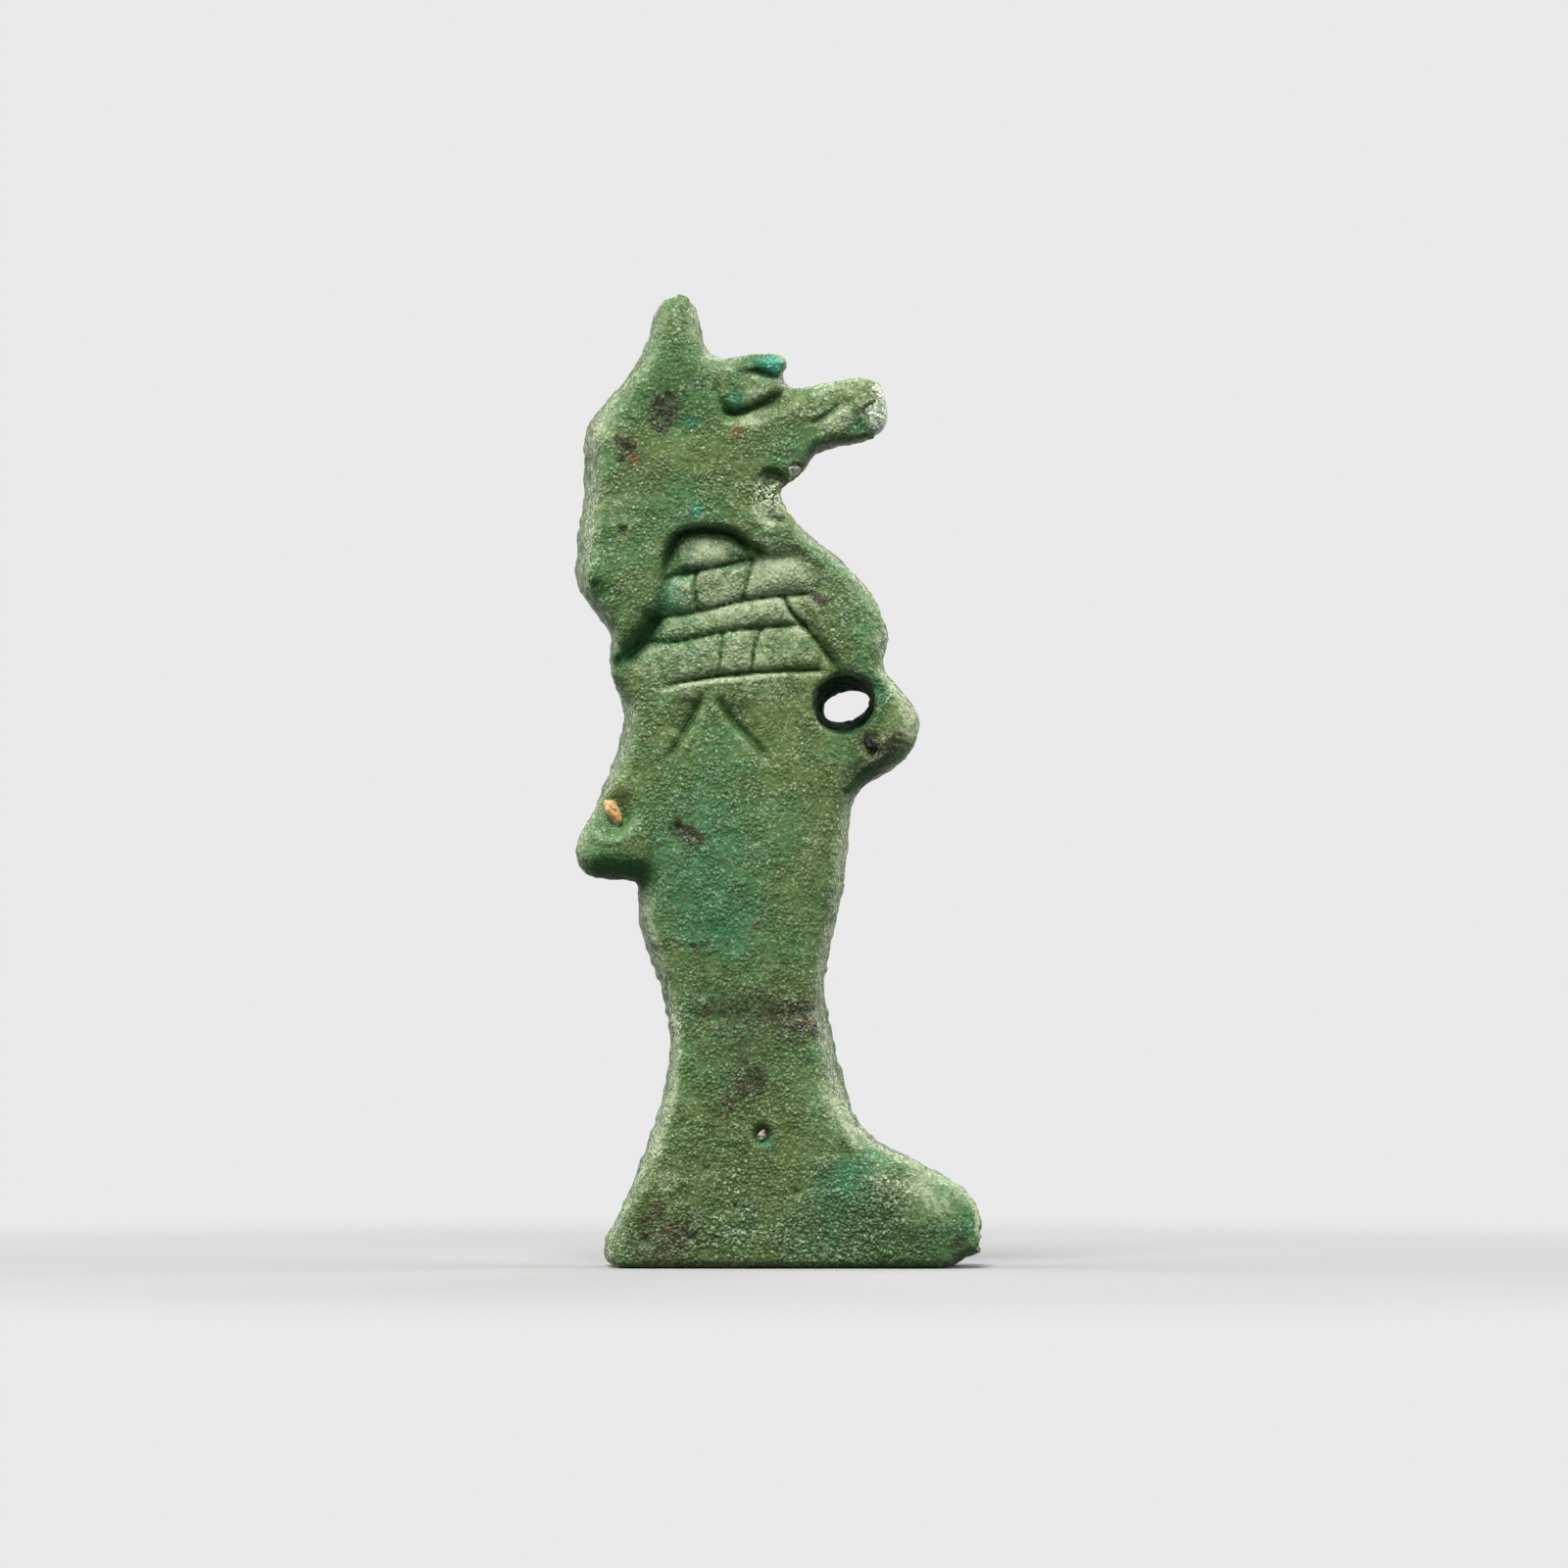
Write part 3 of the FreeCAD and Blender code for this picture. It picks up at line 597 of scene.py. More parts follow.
def wrapped(field, low, steps):
    """A closed mesh on the surface where a field turns positive: places and faces."""
    inside = field > 0
    corners = list(np.ndindex(2, 2, 2))
    spans = [size - 1 for size in field.shape]
    count = np.zeros(spans, np.int8)
    for a, b, c in corners:
        count += inside[a:a + spans[0], b:b + spans[1], c:c + spans[2]]
    active = (count > 0) & (count < 8)
    cells = np.argwhere(active)
    number = np.full(active.shape, -1)
    number[active] = np.arange(len(cells))
    values = {corner: field[tuple((cells + corner).T)] for corner in corners}
    total, hits = np.zeros((len(cells), 3)), np.zeros(len(cells))
    for corner in corners:
        for axis in range(3):
            if corner[axis]:
                continue
            step = np.eye(3, dtype=int)[axis]
            here, there = values[corner], values[tuple(np.add(corner, step))]
            crossed = (here > 0) != (there > 0)
            share = here / np.where(crossed, here - there, 1)
            total += np.where(crossed[:, None], corner + share[:, None] * step, 0)
            hits += crossed
    places = low + (cells + total / hits[:, None]) * steps
    faces = []
    for axis in range(3):
        others = [(axis + 1) % 3, (axis + 2) % 3]
        size = field.shape[axis]
        lower = inside.take(range(size - 1), axis)
        crossings = np.argwhere(lower != inside.take(range(1, size), axis))
        ring = []
        for back_steps in ((0, 0), (1, 0), (1, 1), (0, 1)):
            cell = crossings.copy()
            cell[:, others] -= back_steps
            ring.append(number[tuple(cell.T)])
        quads = np.stack(ring, 1)
        outward = lower[tuple(crossings.T)]
        faces.append(np.where(outward[:, None], quads, quads[:, ::-1]))
    return places, np.concatenate(faces)


def largest_part(faces):
    """The faces of a mesh's largest connected part."""
    part = np.arange(faces.max() + 1)
    settled = False
    while not settled:
        lowest = part.copy()
        in_face = part[faces].min(1)
        for corner in faces.T:
            np.minimum.at(lowest, corner, in_face)
        lowest = lowest[lowest]
        settled = (lowest == part).all()
        part = lowest
    part_of_face = part[faces[:, 0]]
    return faces[part_of_face == np.bincount(part_of_face).argmax()]


def made_object(name, places, faces, material):
    """A smooth-shaded piece from the largest part of a mesh, with its places in millimetres."""
    used, corners = np.unique(largest_part(faces), return_inverse=True)
    mesh = bpy.data.meshes.new(name)
    mesh.from_pydata((places[used] * MM).tolist(), [], corners.reshape(-1, faces.shape[1]).tolist())
    mesh.update()
    mesh.shade_smooth()
    mesh.materials.append(material)
    piece = bpy.data.objects.new(name, mesh)
    bpy.context.scene.collection.objects.link(piece)
    return piece


def surface_of(mesh):
    """Places, in millimetres, and normals of a mesh's points."""
    places, normals = np.zeros((2, len(mesh.vertices) * 3))
    mesh.vertices.foreach_get("co", places)
    mesh.vertex_normals.foreach_get("vector", normals)
    return places.reshape(-1, 3) / MM, normals.reshape(-1, 3)


def record(mesh, name, values):
    """Keeps one number for each point of a mesh, for its material to read."""
    mesh.attributes.new(name, "FLOAT", "POINT").data.foreach_set("value", values.astype(np.float32))


# Colours of the glaze and of what breaks through it, and of the paste
OLIVE = (0.132, 0.203, 0.060)
GREEN = (0.092, 0.218, 0.076)
SAND = (0.285, 0.275, 0.135)
JADE = (0.036, 0.205, 0.100)
TURQUOISE = (0.040, 0.500, 0.360)
DARK_GREEN = (0.030, 0.072, 0.012)
# Dark of pooled glaze, also used as painted shade
POOL_AND_SHADE = (0.006, 0.050, 0.008)
# Pale of rubbed glaze, also used for painted highlights
PALE = (0.44, 0.50, 0.30)
CHALK = (0.58, 0.54, 0.37)
# Light quartz grains, also used as painted glints
QUARTZ_AND_GLINT = (0.60, 0.72, 0.48)
RUST = (0.18, 0.085, 0.028)
PORE = (0.030, 0.045, 0.015)
UMBER = (0.118, 0.098, 0.042)
BROWN = (0.013, 0.009, 0.005)
GREY_PASTE = (0.31, 0.39, 0.25)
PASTE = (0.48, 0.54, 0.39)
PASTE_LIGHT = (0.86, 0.88, 0.78)
PASTE_PORE = (0.08, 0.12, 0.06)


class Wire:
    """One value in a material. Sums and products of wires and numbers add their own nodes."""

    def __init__(self, nodes, socket):
        self.nodes = nodes
        self.socket = socket

    def maths(self, operation, first, second):
        return self.nodes.node("ShaderNodeMath", {"operation": operation}, {0: first, 1: second})

    def __add__(self, other):
        return self.maths("ADD", self, other)

    __radd__ = __add__

    def __mul__(self, other):
        return self.maths("MULTIPLY", self, other)

    __rmul__ = __mul__

    def __sub__(self, other):
        return self.maths("SUBTRACT", self, other)

    def __rsub__(self, other):
        return self.maths("SUBTRACT", other, self)

    def clipped(self):
        return self.nodes.node("ShaderNodeClamp", {}, {"Value": self})


class Nodes:
    """The nodes of a material, or of the surround."""

    def __init__(self, tree):
        self.tree = tree

    def node(self, kind, settings, inputs, output=0):
        """A node of a kind, with its settings and what its sockets take."""
        node = self.tree.nodes.new(kind)
        for name, value in settings.items():
            setattr(node, name, value)
        for name, value in inputs.items():
            self.feed(node.inputs[name], value)
        return Wire(self, node.outputs[output])

    def feed(self, socket, value):
        if isinstance(value, Wire):
            self.tree.links.new(value.socket, socket)
        elif isinstance(value, tuple) and len(value) == 3 and socket.type == "RGBA":
            socket.default_value = (*value, 1)
        else:
            socket.default_value = value

    def mix(self, share, first, second):
        return self.node("ShaderNodeMix", {"data_type": "RGBA"}, {0: share, 6: first, 7: second}, 2)

    def level(self, value, low, high):
        """A value as a share from 0 at low to 1 at high."""
        return self.node("ShaderNodeMapRange", {"interpolation_type": "SMOOTHSTEP"}, {
            "Value": value, "From Min": low, "From Max": high})


class Finish(Nodes):
    """A material in the making."""

    def __init__(self, name):
        self.material = bpy.data.materials.new(name)
        self.material.use_nodes = True
        super().__init__(self.material.node_tree)
        self.tree.nodes.clear()
        self.shader = self.tree.nodes.new("ShaderNodeBsdfPrincipled")
        self.surface = self.tree.nodes.new("ShaderNodeOutputMaterial").inputs["Surface"]
        self.tree.links.new(self.shader.outputs[0], self.surface)

    def shade(self, **sockets):
        for name, value in sockets.items():
            self.feed(self.shader.inputs[name.replace("_", " ")], value)

    def place(self, scale):
        """The place on the object, in units of the given number of millimetres."""
        position = self.node("ShaderNodeTexCoord", {}, {}, 3)
        return self.node("ShaderNodeVectorMath", {"operation": "SCALE"},
                         {0: position, "Scale": 1 / (MM * scale)})

    def noise(self, size, detail=2.0, roughness=0.5):
        """Cloudy noise from 0 to 1, with clouds of a size in millimetres."""
        return self.node("ShaderNodeTexNoise", {}, {
            "Vector": self.place(size), "Scale": 1.0, "Detail": detail, "Roughness": roughness})

    def grains(self, size, output="Distance"):
        """Cells like packed grains, of a size in millimetres."""
        return self.node("ShaderNodeTexVoronoi", {}, {"Vector": self.place(size), "Scale": 1.0}, output)

    def random_values(self, size, count):
        """Random values from 0 to 1, the same all over each grain of a size in millimetres."""
        colour = self.grains(size, "Color")
        return [self.node("ShaderNodeSeparateColor", {}, {"Color": colour}, channel)
                for channel in range(count)]

    def kept(self, name):
        """Numbers recorded on the mesh."""
        return self.node("ShaderNodeAttribute", {"attribute_name": name}, {}, 2)

    def bump(self, height, strength, distance_mm):
        return self.node("ShaderNodeBump", {}, {
            "Height": height, "Strength": strength, "Distance": distance_mm * MM})


def glaze_finish():
    finish = Finish("green_glaze")
    noise, kept, level, mix = finish.noise, finish.kept, finish.level, finish.mix
    cloud = noise(2.2, 4.0, 0.62)
    patch = noise(0.9, 4.0, 0.65)
    fine = noise(0.13, 2.0, 0.6)
    sparkle, shade, pore = finish.random_values(0.072, 3)
    [coarse] = finish.random_values(0.19, 1)
    # The pooled glaze read here also carries painted shade in creases, in the hole and under overhangs
    pool_and_shade = kept("pool_and_shade")
    # The wear read here also carries painted highlights, and so does the pale share made from it
    wear_and_highlight = kept("wear_and_highlight")
    rough = kept("rough")
    # The brown read here also carries painted shade inside the hole
    marked = kept("brown")
    turquoise = kept("turquoise")
    crevice = level(finish.grains(0.12), 0.22, 0.66)
    grainy = level(noise(0.8, 3.0, 0.6), 0.38, 0.62)

    sand = level(noise(0.26, 3.0, 0.6), 0.48, 0.72)
    turn = level(1.5 * (patch - 0.5) + turquoise, 0.10, 1.05)
    uneven = 0.5 * (coarse - 0.5) + 0.5 * (patch - 0.5)
    bare_and_highlight = level(wear_and_highlight + uneven, 0.15, 1.0)
    crusty = bare_and_highlight * rough
    mottle = noise(0.32, 3.0, 0.65) + uneven
    brown = level(marked * (mottle - 0.05), 0.10, 0.66)
    black = (0.9 * crevice + 0.25 * shade + (0.7 * (marked - 1.7)).clipped()).clipped()
    rust = level(kept("rust") * (0.25 + mottle), 0.3, 0.7)
    deep = 0.26 * shade + (0.14 + 0.22 * grainy) * crevice * (1 - 0.5 * bare_and_highlight) + 0.12 * grainy
    deep = (deep + (0.45 * rough + 0.5 * crusty) * crevice) * (1 - 0.7 * brown)
    # Light grains: quartz specks, which also stand in for glints
    bright = sparkle + 0.06 * bare_and_highlight + 0.05 * rough + 0.3 * crusty + 0.4 * (patch - 0.5)
    light = level(bright, 0.80, 1.05) * (1 - 0.85 * pool_and_shade) * (1 - 0.45 * brown)
    dark = level(pore + 0.08 * (coarse - 0.5) + 0.18 * rough, 0.86, 0.98)

    green = level(cloud - 0.16 * kept("olive"), 0.40, 0.60)
    colour = mix(green, OLIVE, GREEN)
    for share, over in (
        (0.40 * sand, SAND),
        (0.85 * turn, mix(level(turquoise, 0.8, 2.2), JADE, TURQUOISE)),
        (0.80 * bare_and_highlight, mix(level(rough, 0.3, 0.9), PALE, CHALK)),
        (0.94 * brown, mix(black, UMBER, BROWN)),
        (0.75 * rust, RUST),
        (deep.clipped(), DARK_GREEN),
        ((0.9 * pool_and_shade).clipped(), POOL_AND_SHADE),
        ((0.45 + 0.4 * crusty) * light, QUARTZ_AND_GLINT),
        (0.55 * dark, PORE),
    ):
        colour = mix(share, colour, over)

    height = 0.9 * (1 - crevice) + 1.1 * (1 - finish.grains(0.17)) + 0.9 * noise(0.4, 2.0)
    dull = 0.15 * bare_and_highlight + 0.25 * (fine - 0.5) + 0.4 * pool_and_shade + 0.2 * crusty
    finish.shade(
        Base_Color=colour,
        Roughness=(0.34 + dull - 0.12 * light).clipped(),
        Normal=finish.bump(height * (0.35 + 0.9 * grainy + rough), 0.55, 0.045),
        IOR=1.45,
        Specular_IOR_Level=0.3,
    )
    return finish.material


def paste_finish():
    finish = Finish("quartz_paste")
    cloud = finish.noise(0.6, 3.0)
    sparkle, shade = finish.random_values(0.085, 2)
    colour = finish.mix(finish.level(cloud, 0.35, 0.65), GREY_PASTE, PASTE)
    light = finish.level(sparkle, 0.58, 0.90)
    colour = finish.mix(0.8 * light, colour, PASTE_LIGHT)
    colour = finish.mix(0.75 * finish.level(shade, 0.60, 0.90), colour, PASTE_PORE)
    height = 1 - finish.grains(0.10) + 0.7 * finish.noise(0.3, 3.0)
    finish.shade(
        Base_Color=colour,
        Roughness=(0.62 - 0.2 * light).clipped(),
        Normal=finish.bump(height, 0.85, 0.05),
        IOR=1.45,
    )
    return finish.material


def grain_finish(name, light, dark, roughness, size):
    finish = Finish(name)
    cloud = finish.noise(size, 3.0)
    colour = finish.mix(finish.level(cloud, 0.35, 0.65), dark, light)
    finish.shade(
        Base_Color=colour,
        Roughness=(roughness + 0.2 * (cloud - 0.5)).clipped(),
        Normal=finish.bump(finish.noise(size / 3, 2.0), 0.5, 0.04),
        IOR=1.5,
        Specular_IOR_Level=0.25,
    )
    return finish.material


# Marks on the front of what the glaze's material reads: place, radius in millimetres and strength
turquoise_px = [
    (790, 376, 0.3, 3), (775, 371, 0.35, 1.3), (797, 366, 0.4, 0.8), (712, 522, 0.22, 2.4),
    (705, 432, 0.28, 1.3), (750, 412, 0.38, 1.3), (776, 408, 0.3, 0.6), (690, 606, 0.75, 0.6),
    (724, 567, 0.7, 0.6), (872, 432, 0.35, 0.7), (836, 447, 0.4, 0.5), (783, 1165, 0.2, 0.9),
    (736, 371, 0.4, -0.3), (725, 810, 1.5, 0.35), (715, 880, 1.9, 0.55), (735, 945, 1.6, 0.75),
    (700, 1095, 1, 0.15), (777, 1162, 0.32, 1), (858, 1215, 1.2, 0.6), (890, 705, 0.5, 0.8),
    (764, 1243, 0.4, 0.8), (986, 1250, 0.5, 1), (862, 1200, 0.8, 0.6), (955, 1190, 0.9, 0.6),
    (890, 1180, 0.8, 0.4), (838, 1260, 0.9, 0.4), (688, 608, 0.6, 0.5), (840, 562, 1.2, 0.35),
    (878, 438, 0.4, 0.6), (700, 730, 0.5, 0.2), (800, 562, 0.9, 0.5), (748, 740, 0.8, 0.25),
    (608, 598, 0.5, 0.4), (790, 478, 0.5, 0.6), (735, 640, 1.4, 0.35), (720, 555, 0.8, 0.4),
    (800, 590, 0.8, 0.2), (700, 675, 0.8, 0.3), (864, 690, 0.8, 0.5), (905, 700, 0.6, 0.4),
    (700, 560, 0.6, 0.5), (740, 1090, 1, 0.2), (790, 1000, 0.8, 0.2), (606, 560, 0.9, 0.2),
    (655, 1250, 0.4, 0.2), (835, 1110, 0.7, 0.3), (808, 636, 0.4, 0.4), (880, 590, 0.8, 0.35),
    (690, 345, 0.6, 0.3),
]
brown_px = [
    (676, 426, 0.55, 1.35), (683, 406, 0.4, 1.2), (643, 459, 0.55, 1.1), (636, 541, 0.18, 2.2),
    (672, 410, 0.14, 3), (681, 424, 0.16, 3.2), (675, 440, 0.13, 3), (667, 430, 0.11, 2.6),
    (632, 449, 0.13, 3), (640, 455, 0.14, 3), (645, 463, 0.14, 2.6), (635, 469, 0.15, 3),
    (772, 1097, 0.2, 2.8), (760, 1111, 0.18, 2.8), (778, 1109, 0.14, 2.4), (750, 1124, 0.14, 2),
    (822, 1030, 0.16, 3), (830, 1052, 0.16, 3), (818, 1046, 0.13, 2.6), (884, 757, 0.13, 2.4),
    (911, 757, 0.3, 1.9), (903, 776, 0.25, 2), (884, 778, 0.25, 1.6), (893, 765, 0.12, 2.4),
    (740, 1030, 0.18, 1.4), (722, 1035, 0.14, 1.4), (790, 1034, 0.16, 1.4), (690, 1262, 0.22, 1.8),
    (707, 1262, 0.2, 2), (672, 1272, 0.22, 1.8), (655, 1278, 0.18, 1.4), (697, 1252, 0.14, 1.6),
    (742, 962, 0.1, 1.4), (708, 966, 0.16, 1.8), (772, 944, 0.12, 1.4), (691, 844, 0.22, 6),
    (706, 853, 0.34, 1.9), (714, 857, 0.12, 2), (834, 611, 0.16, 3.6), (840, 614, 0.14, 3.2),
    (829, 607, 0.1, 2.6), (768, 1104, 0.7, 1.1), (735, 1130, 0.6, 0.9), (824, 1044, 0.6, 1.1),
    (740, 1034, 1.3, 0.95), (800, 1030, 1.2, 1), (676, 1262, 1.4, 1.3), (752, 442, 0.2, 0.8),
    (718, 965, 0.25, 0.8), (800, 985, 0.3, 0.6), (612, 600, 0.22, 0.9), (597, 466, 0.4, 0.6),
    (765, 1100, 1.3, 0.4), (775, 944, 0.25, 0.6), (896, 772, 0.4, 0.9), (908, 763, 0.5, 0.9),
    (880, 791, 0.7, 0.8), (978, 1268, 0.5, 1), (712, 905, 0.2, 0.6), (893, 1190, 0.2, 0.5),
    (720, 1000, 0.5, 0.5), (650, 650, 0.4, 0.4), (832, 1030, 0.4, 0.6), (740, 745, 0.1, 0.7),
]
olive_px = [
    (660, 1240, 1.6, 1.2), (740, 1180, 1.8, 0.7), (700, 1120, 1.6, 0.6), (790, 1150, 1.2, 0.4),
    (800, 1250, 1.4, 0.5), (830, 900, 1.6, 0.8), (850, 800, 1.4, 0.5), (660, 790, 1.2, 0.3),
    (810, 1030, 1.6, 0.7), (700, 1040, 0.8, 0.6), (715, 880, 1.8, -0.8), (725, 800, 1.5, -0.7),
    (880, 1210, 1.6, -0.9), (980, 1240, 1.2, -1), (690, 340, 1.2, -0.4), (620, 560, 1, -0.5),
    (720, 590, 1.6, -0.7), (870, 560, 1.5, -0.7), (600, 860, 1, -0.5), (760, 470, 1.4, 0.4),
    (790, 740, 1.2, 0.6), (900, 740, 0.8, -0.3), (905, 765, 0.6, 0.9), (770, 400, 1, -0.5),
    (590, 440, 0.7, 0.6),
]
rust_px = [
    (905, 764, 0.3, 0.5), (893, 775, 0.2, 0.3), (742, 372, 0.3, 0.5), (753, 441, 0.24, 2.2),
    (649, 471, 0.2, 2), (598, 466, 0.5, 0.8), (592, 450, 1.1, 0.42), (588, 505, 0.9, 0.36),
    (606, 430, 0.4, 0.4), (893, 1190, 0.16, 0.6), (824, 1040, 0.5, 0.7), (690, 1040, 0.25, 0.5),
    (644, 450, 0.3, 0.5), (678, 415, 0.4, 0.4), (706, 853, 0.2, 0.5), (668, 1252, 1.4, 0.55),
    (612, 618, 0.14, 0.9), (834, 613, 0.12, 0.9), (745, 500, 0.14, 0.5), (720, 905, 0.15, 0.5),
    (735, 1210, 0.4, 0.4), (700, 1175, 0.5, 0.35), (917, 1216, 0.5, 0.35), (777, 1156, 0.12, 0.9),
    (800, 1265, 0.6, 0.2), (758, 942, 0.14, 0.6), (600, 410, 0.4, 0.3),
]
rough_px = [
    (670, 1262, 1.4, 1), (760, 1260, 1.6, 0.8), (860, 1260, 1.8, 0.9), (905, 1262, 1.2, 0.7),
    (900, 1215, 0.8, 0.5), (965, 1225, 1, -0.6), (740, 1180, 1.8, 0.5), (768, 1108, 1.2, 0.6),
    (800, 1035, 1.2, 0.5), (825, 1045, 0.6, 0.9), (690, 1040, 0.5, 1), (785, 505, 0.6, 1),
    (895, 418, 0.5, 1), (620, 600, 0.6, 0.6), (640, 740, 1, 0.4),
]
# Pale spots: rubbed wear in places, and painted highlights and glints in others, on the collar cells under
# the arch, about the eye and brow, along the hand and leg edges, and as small white glints on the heel
pale_px = [
    (897, 415, 0.5, 1.7), (620, 620, 0.3, 0.4), (600, 440, 0.7, 0.6), (787, 508, 0.6, 1.5),
    (783, 527, 0.3, 1), (680, 1202, 0.22, 1.1), (682, 1203, 0.28, 2.6), (684, 1209, 0.1, 2.2),
    (622, 430, 0.9, 0.35), (625, 520, 1.4, 0.34), (790, 1225, 1.6, 0.1), (690, 1040, 0.35, 0.6),
    (855, 432, 0.45, 0.7), (845, 402, 1.3, 0.45), (730, 388, 0.4, 0.3), (720, 562, 0.8, 0.3),
    (765, 427, 0.5, 0.5), (812, 482, 0.35, 1), (900, 655, 0.5, 0.7), (934, 750, 0.5, 0.7),
    (592, 855, 0.5, 0.7), (880, 600, 1.2, 0.36), (800, 590, 1.1, 1.5), (683, 1202, 0.2, 1.3),
    (706, 1264, 0.1, 1.5), (731, 1257, 0.1, 1.5), (735, 602, 0.8, 0.5), (725, 563, 0.8, 0.5),
    (740, 634, 1.4, 0.4), (808, 664, 1.2, 0.45), (700, 676, 1.2, 0.45), (692, 606, 0.5, 0.3),
    (752, 668, 0.6, 0.4), (918, 1212, 1.3, 0.5), (962, 1230, 0.9, 0.35), (938, 1205, 0.7, 0.4),
    (825, 1040, 0.35, 0.6), (925, 730, 0.8, 0.36), (640, 720, 0.9, 0.3), (664, 690, 0.6, 0.4),
    (690, 330, 0.8, 0.2), (625, 800, 0.8, 0.3), (700, 703, 0.5, 0.5), (770, 693, 0.9, 0.35),
    (768, 398, 0.6, 0.5), (745, 372, 0.5, 0.4), (792, 392, 0.3, 0.4), (803, 366, 0.3, 0.7),
    (1000, 1255, 0.3, 1), (848, 1125, 0.8, 0.7), (850, 1175, 0.6, 0.4), (700, 1265, 0.7, 0.2),
    (620, 1240, 0.5, 0.4), (750, 1278, 1.6, 0.2), (628, 828, 0.2, 0.9), (898, 756, 0.14, 2.4),
    (902, 769, 0.12, 2.2), (889, 750, 0.12, 2.2), (880, 752, 0.1, 1.4), (722, 566, 0.8, 0.25),
]

# Hollows where glaze pools and painted shade is laid, under the elbow and hand and at the wig's lower left,
# and hollows kept clear of that dark
pool_and_shade_px = [
    (628, 896, 0.8, 1.4), (655, 888, 0.5, 0.9), (888, 800, 0.5, 0.8), (868, 806, 0.3, 0.5),
    (626, 640, 0.25, 0.6), (628, 672, 0.25, 0.7), (632, 695, 0.2, 0.6), (657, 645, 0.5, 0.6),
    (640, 668, 0.3, 0.5), (613, 603, 0.3, 0.7), (880, 440, 0.3, 0.4), (784, 1172, 0.2, 0.5),
    (883, 436, 0.25, 0.4), (868, 452, 0.4, 0.4), (985, 1276, 0.4, 0.6), (700, 583, 0.2, 0.6),
    (714, 582, 0.15, 0.5), (740, 577, 0.25, 0.4), (700, 930, 2.2, 0.1), (760, 1000, 2.4, 0.12),
    (760, 1045, 1.8, 0.14), (740, 1110, 1.8, 0.06), (660, 1262, 1.2, 0.12), (805, 900, 2, 0.2),
    (790, 446, 0.9, 0.16), (770, 1230, 1.8, 0.1), (915, 1264, 1.2, 0.18),
]
clear_px = [
    (784, 509, 0.85, 0.9), (800, 568, 0.8, 0.9), (786, 483, 0.5, 0.6), (889, 760, 0.6, 0.9),
    (627, 828, 0.6, 0.8), (870, 452, 0.9, 0.5), (786, 374, 0.6, 0.5),
]


def roughened(piece):
    """Moves the skin in and out by its grain, and under the paste where it is worn away."""
    mesh = piece.data
    places, normals = surface_of(mesh)
    sideways = eased((1 + normals[:, 1]) / 0.8)
    grain = 0.008 * noise_at(places, 0.17, 51) + 0.009 * noise_at(places, 0.30, 52)
    side = 1 - eased((abs(normals[:, 1]) - 0.15) / 0.5)
    rough = (0.022 + 0.030 * side) * noise_at(places, 0.24, 53)
    rough += (0.020 + 0.014 * side) * noise_at(places, 0.55, 54)
    keep = eased(places[:, 2] / 0.1)
    sunk = worn_sink * eased((worn_away(places) - 0.45) / 0.2)
    moved = places + normals * (keep * (grain + sideways * rough) - sunk)[:, None]
    moved[:, 1] = np.minimum(moved[:, 1], back_y + back_give)
    moved[:, 2] = np.maximum(moved[:, 2], sole_gap)
    mesh.vertices.foreach_set("co", (moved * MM).reshape(-1))
    mesh.update()


